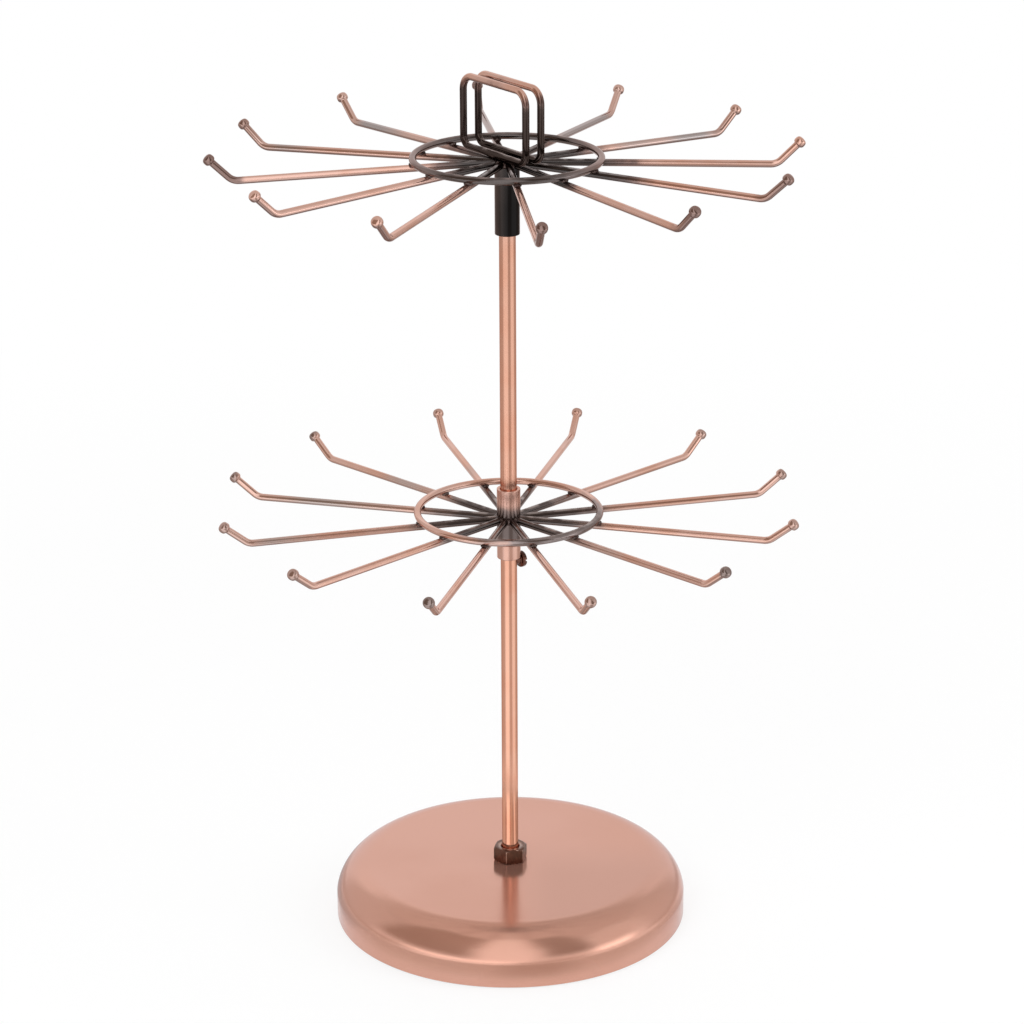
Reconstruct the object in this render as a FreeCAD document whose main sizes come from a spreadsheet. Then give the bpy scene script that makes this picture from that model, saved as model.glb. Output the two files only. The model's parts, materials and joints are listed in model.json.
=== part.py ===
"""Two-tier rotating jewellery stand: a weighted round foot, a pole and two spinning wire tiers.

Frame: origin at the centre of the foot's underside, +Z up the pole, +X along the twin grip
loops on top.  Millimetres and degrees.

Pieces that stand still: the foot's shell, ballast, pad, nuts and washer, the pole, the screw
that carries the lower tier and the ball that carries the upper one.  Each tier is a hub tube
with twelve hooked arms and a ring welded on top of them; each spins about the pole.
"""
import FreeCAD, Part
import math
import os
import Sketcher
from FreeCAD import Placement, Rotation, Vector

# How a sketch's constraints name its own axes, its origin and the points of an edge.
AXES = {"across": -1, "up": -2}
POINTS = {"start": 1, "end": 2, "centre": 3}
ORIGIN = (AXES["across"], POINTS["start"])
FORWARD = (POINTS["start"], POINTS["end"])
BACKWARD = (POINTS["end"], POINTS["start"])

doc = FreeCAD.newDocument("jewellery_stand")

# ---------------------------------------------------------------- driving dimensions

DIMENSIONS = (
    # weighted foot
    ("base_diameter", 152.0, "foot, outside"),
    ("base_height", 24.0, "floor to the foot's flat top"),
    ("shoulder_width", 15.5, "round between wall and flat top, inwards from the wall"),
    ("shoulder_drop", 13.3, "the same round, down from the flat top"),
    ("shell_thickness", 1.0, "spun sheet of the foot's shell"),
    ("skirt_lift", 0.4, "shell's lower edge above the floor"),
    ("filling_gap", 0.3, "between the shell's wall and what fills it"),
    ("pad_thickness", 2.0, "rubber pad under the foot"),
    ("ballast_thickness", 10.0, "cast disc above the pad"),
    ("ballast_bevel", 2.0, "bevel round the cast disc's upper edge"),
    ("boss_diameter", 28.0, "ballast's boss under the nut"),
    ("boss_flare", 4.0, "how much wider the boss is at its foot, each side"),
    ("recess_diameter", 22.0, "pocket in the ballast for the lower nut"),
    ("recess_depth", 9.1, "pocket, measured up from the pad"),
    # clamping hardware, size M8
    ("nut_flats", 13.0, "nut, across flats"),
    ("nut_thickness", 6.5, "nut, along the pole"),
    ("nut_bevel", 30.0, "angle of a nut's rounded-off corners"),
    ("washer_diameter", 16.0, "washer, outside"),
    ("washer_thickness", 1.6, "washer, along the pole"),
    ("thread_diameter", 7.9, "rolled thread at the pole's foot, outside"),
    ("thread_gap", 0.05, "thread to nut, each side"),
    ("thread_bevel", 0.8, "bevel at the thread's lower end"),
    ("clearance_gap", 0.25, "thread to a plain hole, each side"),
    # pole and what it carries
    ("pole_diameter", 7.0, "pole above its thread"),
    ("pole_bevel", 0.5, "bevel at the pole's top"),
    ("pole_end_gap", 0.6, "pad to the pole's lower end"),
    ("running_gap", 0.15, "pole to a spinning tube, each side"),
    ("ball_diameter", 5.0, "bearing ball on the pole's top"),
    ("dimple_diameter", 3.2, "drilled seat of the ball"),
    ("drill_angle", 59.0, "half angle of the drilled seat"),
    ("ball_gap", 0.05, "ball to each thing that it bears on"),
    ("screw_diameter", 4.0, "support screw's shank, size M4"),
    ("screw_head_diameter", 7.0, "support screw's head"),
    ("screw_head_height", 2.0, "support screw's head, along the screw"),
    ("screw_head_bevel", 0.5, "bevel round the head"),
    ("screw_depth", 2.3, "how far the shank passes the pole's axis"),
    ("screw_gap", 0.06, "shank to its hole, each side"),
    ("slot_width", 1.0, "driver slot in the head"),
    ("slot_depth", 0.9, "driver slot in the head"),
    ("rest_gap", 0.2, "support screw to the hub that sits on it"),
    ("head_gap", 0.3, "hub's outside to the screw's head"),
    # the two tiers
    ("lower_height", 182.6, "floor to the lower arms' wires, at the hub"),
    ("upper_height", 336.6, "floor to the upper arms' wires, at the sleeve"),
    ("hooks_per_tier", 12, "arms of a tier, evenly spaced"),
    ("lower_turn", 9.0, "how far the lower tier is turned from the upper one"),
    ("wire_diameter", 3.0, "every wire: arms, rings and grip loops"),
    ("weld_gap", 0.05, "one wire to another that crosses it"),
    ("ring_radius", 38.5, "ring, to the middle of its wire"),
    ("belt_rise", 0.65, "weld belt proud of its tube, where the arms butt"),
    ("belt_room", 1.03, "share by which a belt's facet is wider than a wire"),
    # hooked arms
    ("reach_to_bend", 111.4, "pole's axis to the corner of a hook's bend"),
    ("bend_radius", 6.0, "hook's bend, to the middle of the wire"),
    ("lower_droop", 0.1, "fall of the lower arms, in degrees"),
    ("upper_droop", 2.3, "fall of the upper arms, in degrees"),
    ("lower_tip_angle", 38.0, "rise of a lower hook's tip, in degrees"),
    ("upper_tip_angle", 43.5, "rise of an upper hook's tip, in degrees"),
    ("tip_length", 13.0, "corner of the bend to the bead's middle"),
    ("bead_diameter", 4.8, "bead on a hook's tip"),
    # lower tier's hub, upper tier's sleeve
    ("hub_diameter", 10.0, "lower hub, outside"),
    ("hub_length", 31.0, "lower hub, along the pole"),
    ("hub_rise", 13.4, "lower hub's top above its arms"),
    ("sleeve_diameter", 10.4, "upper sleeve, outside"),
    ("sleeve_length", 31.6, "upper sleeve, along the pole"),
    ("tube_bevel", 0.4, "bevel at the end of a tube"),
    ("plug_length", 4.6, "plug that closes the sleeve's top"),
    ("plug_gap", 0.03, "plug to the sleeve's bore, each side"),
    # twin grip loops
    ("grip_width", 43.0, "loop, from leg to leg"),
    ("grip_height", 29.4, "loop, from lower rail to top bar"),
    ("grip_spacing", 7.5, "one loop to the other"),
    ("grip_offset", -3.5, "middle of the loops from the pole's axis, along them"),
    ("grip_top_radius", 6.0, "loop's upper corners, to the middle of the wire"),
    ("grip_foot_radius", 4.0, "loop's lower corners, to the middle of the wire"),
)

sheet = doc.addObject("Spreadsheet::Sheet", "dims")
for row, (alias, value, meaning) in enumerate(DIMENSIONS, start=1):
    sheet.set(f"A{row}", meaning)
    sheet.set(f"B{row}", str(value))
    sheet.setAlias(f"B{row}", alias)
doc.recompute()

# Sizes that several pieces share, written as expressions on the sheet.
WIRE_RADIUS = "dims.wire_diameter / 2"
POLE_RADIUS = "dims.pole_diameter / 2"
THREAD_RADIUS = "dims.thread_diameter / 2"
TUBE_BORE = "dims.pole_diameter / 2 + dims.running_gap"
PLAIN_HOLE = "dims.thread_diameter / 2 + dims.clearance_gap"
NUT_BORE = "dims.thread_diameter / 2 + dims.thread_gap"
SHELL_INSIDE = "dims.base_diameter / 2 - dims.shell_thickness"
FILLING_RADIUS = f"{SHELL_INSIDE} - dims.filling_gap"
RECESS_CEILING = "dims.pad_thickness + dims.recess_depth"
LOWER_NUT_FOOT = f"{RECESS_CEILING} - dims.washer_thickness - dims.nut_thickness"
HUB_FOOT = "dims.lower_height + dims.hub_rise - dims.hub_length"
SCREW_HEIGHT = f"{HUB_FOOT} - dims.rest_gap - dims.screw_diameter / 2"
SLEEVE_TOP = f"dims.upper_height + {WIRE_RADIUS}"
PLUG_FOOT = f"{SLEEVE_TOP} - dims.plug_length"
BALL_HEIGHT = f"{PLUG_FOOT} - dims.ball_gap - dims.ball_diameter / 2"
DIMPLE_DEPTH = "dims.dimple_diameter / 2 / tan(dims.drill_angle)"
POLE_TOP = (f"{BALL_HEIGHT} + {DIMPLE_DEPTH}"
            " - (dims.ball_diameter / 2 + dims.ball_gap) / sin(dims.drill_angle)")
HALF_FACET = "180 / dims.hooks_per_tier"
BELT_FOR_WIRES = f"{WIRE_RADIUS} / tan({HALF_FACET}) * dims.belt_room"


def belt_radius(tube):
    """Axis to a flat of the weld belt round a tube, as an expression."""
    return f"max(dims.{tube}_diameter / 2 + dims.belt_rise; {BELT_FOR_WIRES})"


def size_of(expression):
    """The present value of an expression on the sheet."""
    value = sheet.evalExpression(expression)
    return float(getattr(value, "Value", value))


# ---------------------------------------------------------------- drawing helpers

def new_body(label):
    """An empty body for one piece."""
    body = doc.addObject("PartDesign::Body", label)
    body.Label = label
    return body


def place(body, height="0", turn=None, axis=Vector(0, 0, 1)):
    """Set a body's height and, where given, its turn about an axis."""
    body.Placement = Placement(Vector(0, 0, 0), Rotation(axis, 0.0))
    body.setExpression("Placement.Base.z", height)
    if turn is not None:
        body.Placement = Placement(Vector(0, 0, 0), Rotation(axis, size_of(turn)))
        body.setExpression("Placement.Base.z", height)
        body.setExpression("Placement.Rotation.Angle", turn)


def sketch_on(body, name, plane_role, offset=None):
    """A sketch on one of the body's own origin planes, moved along its normal by offset."""
    sketch = body.newObject("Sketcher::SketchObject", f"{body.Name}_{name}")
    plane = next(p for p in body.Origin.OriginFeatures if p.Role == plane_role)
    sketch.AttachmentSupport = [(plane, "")]
    sketch.MapMode = "FlatFace"
    if offset is not None:
        sketch.setExpression("AttachmentOffset.Base.z", offset)
    return sketch


def pin_point(sketch, geometry, point, across, up):
    """Hold a point at the distances across and up, both expressions, from the origin."""
    for kind, axis, expression in (("DistanceX", "up", across), ("DistanceY", "across", up)):
        if expression == "0":
            sketch.addConstraint(
                Sketcher.Constraint("PointOnObject", geometry, point, AXES[axis]))
            continue
        now = size_of(expression)
        index = sketch.addConstraint(Sketcher.Constraint(kind, *ORIGIN, geometry, point, now))
        sketch.setExpression(f"Constraints[{index}]", expression)


def draw_path(sketch, stops, closed):
    """Lines and arcs through the stops.

    A stop is (across, up) or (across, up, radius, left): with a radius, an arc of that radius
    leads on to the next stop, and left says that it turns left.
    """
    spots = [Vector(size_of(stop[0]), size_of(stop[1]), 0) for stop in stops]
    runs = len(stops) if closed else len(stops) - 1
    first_ends = []
    for i in range(runs):
        start, finish = spots[i], spots[(i + 1) % len(stops)]
        if len(stops[i]) == 2:
            sketch.addGeometry(Part.LineSegment(start, finish), False)
            first_ends.append(FORWARD)
            continue
        radius, left = size_of(stops[i][2]), stops[i][3]
        chord = finish - start
        height = math.sqrt(max(radius ** 2 - (chord.Length / 2) ** 2, 0.0))
        inward = Vector(-chord.y, chord.x, 0).normalize() * (height if left else -height)
        centre = (start + finish) * 0.5 + inward
        first, last = (start, finish) if left else (finish, start)
        angles = [math.atan2((p - centre).y, (p - centre).x) for p in (first, last)]
        if angles[1] < angles[0]:
            angles[1] += 2 * math.pi
        circle = Part.Circle(centre, Vector(0, 0, 1), radius)
        sketch.addGeometry(Part.ArcOfCircle(circle, *angles), False)
        first_ends.append(FORWARD if left else BACKWARD)
    for i in range(runs):
        if closed or i + 1 < runs:
            following = (i + 1) % runs
            sketch.addConstraint(Sketcher.Constraint(
                "Coincident", i, first_ends[i][1], following, first_ends[following][0]))
    for i, stop in enumerate(stops):
        run, end = (i, 0) if i < runs else (runs - 1, 1)
        pin_point(sketch, run, first_ends[run][end], stop[0], stop[1])
        if i < runs and len(stop) > 2:
            index = sketch.addConstraint(Sketcher.Constraint("Radius", i, size_of(stop[2])))
            sketch.setExpression(f"Constraints[{index}]", stop[2])


def draw_circle(sketch, radius, across="0", up="0"):
    """A circle whose radius and centre are expressions."""
    centre = Vector(size_of(across), size_of(up), 0)
    index = sketch.addGeometry(Part.Circle(centre, Vector(0, 0, 1), size_of(radius)), False)
    pin_point(sketch, index, POINTS["centre"], across, up)
    held = sketch.addConstraint(Sketcher.Constraint("Radius", index, size_of(radius)))
    sketch.setExpression(f"Constraints[{held}]", radius)


def revolve(body, name, stops):
    """Turn a closed outline, given as radius and height, about the body's Z axis."""
    outline = sketch_on(body, f"{name}_outline", "XZ_Plane")
    draw_path(outline, stops, closed=True)
    turned = body.newObject("PartDesign::Revolution", f"{body.Name}_{name}")
    turned.Profile = outline
    turned.ReferenceAxis = (outline, ["V_Axis"])
    turned.Angle = 360.0
    return turned


def polygon(count, flat_radius):
    """Corners of a regular polygon whose flats lie at flat_radius; one flat faces +X."""
    corners = []
    for k in range(count):
        angle = 360.0 / count * (k + 0.5)
        reach = f"({flat_radius}) / cos({180.0 / count})"
        corners.append((f"{reach} * cos({angle})", f"{reach} * sin({angle})"))
    return corners


def extrude(body, name, sketch, length):
    """Pad a sketch along its normal."""
    pad = body.newObject("PartDesign::Pad", f"{body.Name}_{name}")
    pad.Profile = sketch
    pad.setExpression("Length", length)
    return pad


def cut(body, name, sketch, depth, reverse):
    """Pocket a sketch; reverse makes the cut go along the sketch's normal."""
    pocket = body.newObject("PartDesign::Pocket", f"{body.Name}_{name}")
    pocket.Profile = sketch
    pocket.Reversed = reverse
    pocket.setExpression("Length", depth)
    return pocket


def bend_wire(body, name, stops, section_plane, across, up, offset=None):
    """Sweep the wire's round section along a path in the body's XZ plane."""
    path = sketch_on(body, f"{name}_path", "XZ_Plane")
    draw_path(path, stops, closed=False)
    section = sketch_on(body, f"{name}_section", section_plane, offset)
    draw_circle(section, WIRE_RADIUS, across, up)
    pipe = body.newObject("PartDesign::AdditivePipe", f"{body.Name}_{name}")
    pipe.Profile = section
    pipe.Spine = path
    return pipe


# ---------------------------------------------------------------- weighted foot

def make_shell():
    """Spun sheet shell: flat top, round shoulder that meets the wall at a crease, open below.

    The shoulder's arc leaves the flat top level, so its radius follows from width and drop.
    """
    body = new_body("base_shell")
    wall, inside = "dims.base_diameter / 2", SHELL_INSIDE
    flat = "dims.base_diameter / 2 - dims.shoulder_width"
    ceiling = "dims.base_height - dims.shell_thickness"
    radius = "(pow(dims.shoulder_width; 2) + pow(dims.shoulder_drop; 2)) / 2 / dims.shoulder_drop"
    inner_radius = f"{radius} - dims.shell_thickness"
    inner_width = "dims.shoulder_width - dims.shell_thickness"
    inner_drop = f"sqrt(pow({inner_radius}; 2) - pow({inner_width}; 2))"
    revolve(body, "spinning", (
        (PLAIN_HOLE, ceiling),
        (flat, ceiling, inner_radius, False),
        (inside, f"dims.base_height - ({radius}) + {inner_drop}"),
        (inside, "dims.skirt_lift"),
        (wall, "dims.skirt_lift"),
        (wall, "dims.base_height - dims.shoulder_drop", radius, True),
        (flat, "dims.base_height"),
        (PLAIN_HOLE, "dims.base_height"),
    ))
    place(body)


def make_ballast():
    """Cast disc inside the shell; its boss carries the shell's top under the nut."""
    body = new_body("base_weight")
    disc_top = "dims.pad_thickness + dims.ballast_thickness"
    boss_top = "dims.base_height - dims.shell_thickness"
    revolve(body, "casting", (
        (PLAIN_HOLE, RECESS_CEILING),
        ("dims.recess_diameter / 2", RECESS_CEILING),
        ("dims.recess_diameter / 2", "dims.pad_thickness"),
        (FILLING_RADIUS, "dims.pad_thickness"),
        (FILLING_RADIUS, f"{disc_top} - dims.ballast_bevel"),
        (f"{FILLING_RADIUS} - dims.ballast_bevel", disc_top),
        ("dims.boss_diameter / 2 + dims.boss_flare", disc_top),
        ("dims.boss_diameter / 2", boss_top),
        (PLAIN_HOLE, boss_top),
    ))
    place(body)


def make_pad():
    """Rubber disc inside the skirt, which the stand rests on."""
    body = new_body("base_pad")
    outline = sketch_on(body, "outline", "XY_Plane")
    draw_circle(outline, FILLING_RADIUS)
    extrude(body, "disc", outline, "dims.pad_thickness")
    place(body)


def make_nut(label, height, turn):
    """Hexagon nut with its corners rounded off above and below."""
    body = new_body(label)
    flats = sketch_on(body, "flats", "XY_Plane")
    draw_path(flats, polygon(6, "dims.nut_flats / 2"), closed=True)
    extrude(body, "hexagon", flats, "dims.nut_thickness")
    bore = sketch_on(body, "bore", "XY_Plane")
    draw_circle(bore, NUT_BORE)
    cut(body, "tapping", bore, "dims.nut_thickness", reverse=True)
    beyond = "dims.nut_flats * 0.7"
    round_face = "dims.nut_flats / 2"
    fall = f"({beyond} - {round_face}) * tan(dims.nut_bevel)"
    for name, face, inner in (("upper", "dims.nut_thickness", f"dims.nut_thickness - {fall}"),
                              ("lower", "0", fall)):
        outline = sketch_on(body, f"{name}_bevel_outline", "XZ_Plane")
        draw_path(outline, ((round_face, face), (beyond, face), (beyond, inner)), closed=True)
        groove = body.newObject("PartDesign::Groove", f"{label}_{name}_bevel")
        groove.Profile = outline
        groove.ReferenceAxis = (outline, ["V_Axis"])
        groove.Angle = 360.0
    place(body, height, turn)


def make_washer():
    """Plain washer between the lower nut and the ballast."""
    body = new_body("under_washer")
    outline = sketch_on(body, "outline", "XY_Plane")
    draw_circle(outline, "dims.washer_diameter / 2")
    draw_circle(outline, PLAIN_HOLE)
    extrude(body, "ring", outline, "dims.washer_thickness")
    place(body, f"{RECESS_CEILING} - dims.washer_thickness")


# ---------------------------------------------------------------- pole and its bearings

def make_pole():
    """Rod with a rolled thread at its foot, a drilled seat on top and a hole for the screw."""
    body = new_body("pole")
    foot = "dims.pad_thickness + dims.pole_end_gap"
    thread_top = "dims.base_height + dims.nut_thickness"
    step = f"{THREAD_RADIUS} - {POLE_RADIUS}"
    revolve(body, "turning", (
        ("0", foot),
        (f"{THREAD_RADIUS} - dims.thread_bevel", foot),
        (THREAD_RADIUS, f"{foot} + dims.thread_bevel"),
        (THREAD_RADIUS, f"{thread_top} - ({step})"),
        (POLE_RADIUS, thread_top),
        (POLE_RADIUS, f"{POLE_TOP} - dims.pole_bevel"),
        (f"{POLE_RADIUS} - dims.pole_bevel", POLE_TOP),
        ("dims.dimple_diameter / 2", POLE_TOP),
        ("0", f"{POLE_TOP} - {DIMPLE_DEPTH}"),
    ))
    mouth = sketch_on(body, "screw_mouth", "XZ_Plane", "-dims.pole_diameter")
    draw_circle(mouth, "dims.screw_diameter / 2 + dims.screw_gap", "0", SCREW_HEIGHT)
    reach = "dims.pole_diameter + dims.screw_depth + dims.screw_gap"
    cut(body, "screw_hole", mouth, reach, reverse=True)
    place(body)


def make_support_screw():
    """Screw through the pole, just under the lower hub, which rests on its shank."""
    body = new_body("support_screw")
    shank = "dims.screw_diameter / 2"
    head = "dims.screw_head_diameter / 2"
    seat = "dims.hub_diameter / 2 + dims.head_gap"
    top = f"{seat} + dims.screw_head_height"
    revolve(body, "turning", (
        ("0", "-dims.screw_depth"),
        (shank, "-dims.screw_depth"),
        (shank, seat),
        (head, seat),
        (head, f"{top} - dims.screw_head_bevel"),
        (f"{head} - dims.screw_head_bevel", top),
        ("0", top),
    ))
    slot = sketch_on(body, "slot_outline", "XY_Plane", top)
    half, reach = "dims.slot_width / 2", "dims.screw_head_diameter"
    draw_path(slot, ((reach, half), (f"-{reach}", half), (f"-{reach}", f"-{half}"),
                     (reach, f"-{half}")), closed=True)
    cut(body, "slot", slot, "dims.slot_depth", reverse=False)
    place(body, SCREW_HEIGHT, "-90", Vector(1, 0, 0))


def make_ball():
    """Bearing ball that carries the upper tier on the pole's top."""
    ball = doc.addObject("Part::Sphere", "pivot_ball")
    ball.Label = "pivot_ball"
    ball.setExpression("Radius", "dims.ball_diameter / 2")
    ball.setExpression("Placement.Base.z", BALL_HEIGHT)


# ---------------------------------------------------------------- tiers

def add_weld_belt(body, tube):
    """Faceted belt of weld metal round a tube: one flat for the butt end of each arm."""
    belt = sketch_on(body, "belt_outline", "XY_Plane", f"-{WIRE_RADIUS}")
    sides = round(size_of("dims.hooks_per_tier"))
    draw_path(belt, polygon(sides, belt_radius(tube)), closed=True)
    draw_circle(belt, f"dims.{tube}_diameter / 2 - {WIRE_RADIUS} / 3")
    extrude(body, "belt", belt, "dims.wire_diameter")


def make_hub():
    """Tube of the lower tier, which spins on the support screw."""
    body = new_body("lower_hub")
    outside, bevel = "dims.hub_diameter / 2", "dims.tube_bevel"
    top, foot = "dims.hub_rise", "dims.hub_rise - dims.hub_length"
    revolve(body, "tube", (
        (TUBE_BORE, foot),
        (outside, foot),
        (outside, f"{top} - {bevel}"),
        (f"{outside} - {bevel}", top),
        (TUBE_BORE, top),
    ))
    add_weld_belt(body, "hub")
    place(body, "dims.lower_height", "dims.lower_turn")


def make_sleeve():
    """Tube of the upper tier, closed by a plug that bears on the ball."""
    body = new_body("upper_sleeve")
    outside, bevel = "dims.sleeve_diameter / 2", "dims.tube_bevel"
    top, foot = WIRE_RADIUS, f"{WIRE_RADIUS} - dims.sleeve_length"
    revolve(body, "tube", (
        (TUBE_BORE, foot),
        (f"{outside} - {bevel}", foot),
        (outside, f"{foot} + {bevel}"),
        (outside, top),
        (TUBE_BORE, top),
    ))
    add_weld_belt(body, "sleeve")
    place(body, "dims.upper_height", "0")


def make_plug():
    """Round plug in the sleeve's top."""
    body = new_body("sleeve_plug")
    outline = sketch_on(body, "outline", "XY_Plane")
    draw_circle(outline, f"{TUBE_BORE} - dims.plug_gap")
    extrude(body, "slug", outline, "dims.plug_length")
    place(body, PLUG_FOOT)


def make_ring(tier, tube):
    """Wire ring welded on top of a tier's arms."""
    body = new_body(f"{tier}_ring")
    section = sketch_on(body, "section", "XZ_Plane")
    draw_circle(section, WIRE_RADIUS, "dims.ring_radius", "0")
    turned = body.newObject("PartDesign::Revolution", f"{body.Name}_wire")
    turned.Profile = section
    turned.ReferenceAxis = (section, ["V_Axis"])
    turned.Angle = 360.0
    arm_fall = f"(dims.ring_radius - {belt_radius(tube)}) * tan(dims.{tier}_droop)"
    stacked = f"dims.wire_diameter / cos(dims.{tier}_droop) + dims.weld_gap"
    place(body, f"dims.{tier}_height - {arm_fall} + {stacked}")


def make_hook(tier, tube, number):
    """One arm: straight wire from the weld belt, a bend, a rising tip and a bead on its end."""
    body = new_body(f"{tier}_hook_{number + 1:02d}")
    root = belt_radius(tube)
    droop, rise = f"dims.{tier}_droop", f"dims.{tier}_tip_angle"
    corner_up = f"-(dims.reach_to_bend - {root}) * tan({droop})"
    tangent = f"dims.bend_radius * tan(({droop} + {rise}) / 2)"
    tip_across = f"dims.reach_to_bend + dims.tip_length * cos({rise})"
    tip_up = f"{corner_up} + dims.tip_length * sin({rise})"
    bend_wire(body, "wire", (
        (root, "0"),
        (f"dims.reach_to_bend - {tangent} * cos({droop})",
         f"{corner_up} + {tangent} * sin({droop})", "dims.bend_radius", True),
        (f"dims.reach_to_bend + {tangent} * cos({rise})",
         f"{corner_up} + {tangent} * sin({rise})"),
        (tip_across, tip_up),
    ), "YZ_Plane", "0", "0", offset=root)
    bead = body.newObject("PartDesign::AdditiveSphere", f"{body.Name}_bead")
    plane = next(p for p in body.Origin.OriginFeatures if p.Role == "XY_Plane")
    bead.AttachmentSupport = [(plane, "")]
    bead.MapMode = "FlatFace"
    bead.setExpression("Radius", "dims.bead_diameter / 2")
    bead.setExpression("AttachmentOffset.Base.x", tip_across)
    bead.setExpression("AttachmentOffset.Base.z", tip_up)
    turn = f"360 / dims.hooks_per_tier * {number}"
    if tier == "lower":
        turn = f"dims.lower_turn + {turn}"
    place(body, f"dims.{tier}_height", turn)


def make_grip_loop(name, side):
    """Closed wire loop on the sleeve's top; side is -1 or 1 across the pair."""
    body = new_body(f"grip_loop_{name}")
    leg, top = "dims.grip_width / 2", "dims.grip_height"
    foot_arc, top_arc = "dims.grip_foot_radius", "dims.grip_top_radius"
    bend_wire(body, "half", (
        ("0", "0"),
        (f"{leg} - {foot_arc}", "0", foot_arc, True),
        (leg, foot_arc),
        (leg, f"{top} - {top_arc}", top_arc, True),
        (f"{leg} - {top_arc}", top),
        ("0", top),
    ), "YZ_Plane", "0", "0")
    half = body.Tip
    mirrored = body.newObject("PartDesign::Mirrored", f"{body.Name}_whole")
    mirrored.Originals = [half]
    plane = next(p for p in body.Origin.OriginFeatures if p.Role == "YZ_Plane")
    mirrored.MirrorPlane = (plane, [""])
    body.Tip = mirrored
    place(body, f"{SLEEVE_TOP} + {WIRE_RADIUS}")
    body.setExpression("Placement.Base.x", "dims.grip_offset")
    body.setExpression("Placement.Base.y", f"{side} * dims.grip_spacing / 2")


make_shell()
make_ballast()
make_pad()
make_nut("base_nut", "dims.base_height", "40.5")
make_washer()
make_nut("under_nut", LOWER_NUT_FOOT, "40")
make_pole()
make_support_screw()
make_ball()
make_hub()
make_sleeve()
make_plug()
make_ring("lower", "hub")
make_ring("upper", "sleeve")
for hook_number in range(round(size_of("dims.hooks_per_tier"))):
    make_hook("lower", "hub", hook_number)
    make_hook("upper", "sleeve", hook_number)
make_grip_loop("front", -1)
make_grip_loop("rear", 1)
doc.recompute()

# ---------------------------------------------------------------- checks and export

for item in doc.Objects:
    if "Invalid" in item.State or "Error" in item.State:
        raise RuntimeError(f"{item.Name} failed: {item.State}")

pieces = [item for item in doc.Objects
          if item.TypeId == "PartDesign::Body" or item.Name == "pivot_ball"]
for piece in pieces:
    if piece.Shape.isNull() or not piece.Shape.isValid() or len(piece.Shape.Solids) != 1:
        raise RuntimeError(f"{piece.Label} is not one valid solid")

os.makedirs("parts", exist_ok=True)
for piece in pieces:
    piece.Shape.exportStep(f"parts/{piece.Label}.step")
    print(f"{piece.Label:16s} {piece.Shape.Volume:12.1f} mm3")
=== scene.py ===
"""Looks of a two-tier rotating jewellery stand in aged copper, built round its fixed frame.

Every length is in metres and every place is in the frame's own axes: +Z up the pole, +X along
the twin grip loops, and the origin under the middle of the foot.
"""

import json
import logging
import math
from dataclasses import dataclass, field
from enum import Enum
from functools import cached_property
from typing import Callable, Sequence

import bpy
from mathutils import Matrix, Vector

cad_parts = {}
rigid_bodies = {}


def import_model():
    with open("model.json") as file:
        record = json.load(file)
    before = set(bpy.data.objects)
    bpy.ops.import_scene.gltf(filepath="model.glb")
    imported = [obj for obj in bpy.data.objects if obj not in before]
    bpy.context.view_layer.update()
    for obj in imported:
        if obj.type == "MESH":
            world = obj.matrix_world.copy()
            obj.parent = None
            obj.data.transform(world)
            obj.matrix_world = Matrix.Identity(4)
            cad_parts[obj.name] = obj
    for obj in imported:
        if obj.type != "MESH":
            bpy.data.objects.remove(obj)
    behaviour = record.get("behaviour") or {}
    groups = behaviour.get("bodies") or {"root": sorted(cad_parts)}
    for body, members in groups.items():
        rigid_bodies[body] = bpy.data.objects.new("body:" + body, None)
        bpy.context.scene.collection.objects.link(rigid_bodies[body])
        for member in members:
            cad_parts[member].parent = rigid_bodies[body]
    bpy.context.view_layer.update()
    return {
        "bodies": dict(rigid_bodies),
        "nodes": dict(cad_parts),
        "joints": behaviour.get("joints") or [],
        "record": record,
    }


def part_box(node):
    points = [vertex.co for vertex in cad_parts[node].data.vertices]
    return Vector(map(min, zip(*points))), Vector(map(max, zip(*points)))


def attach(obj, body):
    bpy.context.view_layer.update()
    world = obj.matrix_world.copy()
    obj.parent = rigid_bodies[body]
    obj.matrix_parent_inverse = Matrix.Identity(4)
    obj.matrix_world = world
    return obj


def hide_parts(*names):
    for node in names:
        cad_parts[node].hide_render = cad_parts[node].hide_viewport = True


log = logging.getLogger("jewellery_stand")

MM = 0.001
VIEW_TURN = 53.88  # the camera's direction round the stand, in degrees from -Y
WIRE_SIDES = 28
Colour = tuple[float, float, float]
Direction = tuple[float, float, float]
Profile = list[tuple[float, float]]
Socket = bpy.types.NodeSocket


def opaque(colour: Colour) -> tuple[float, float, float, float]:
    """A colour with full alpha."""
    return (*colour, 1.0)


def towards(turn: float, rise: float = 0.0) -> Vector:
    """A direction given from the camera's own side of the stand.

    Args:
        turn: Degrees round the stand from the camera, positive to the camera's right.
        rise: Degrees above the horizon.

    Returns:
        The unit vector from the stand.
    """
    around = math.radians(VIEW_TURN + turn)
    up = math.radians(rise)
    return Vector((math.sin(around) * math.cos(up), -math.cos(around) * math.cos(up),
                   math.sin(up)))


# ------------------------------------------------------------------ node trees in short

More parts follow.
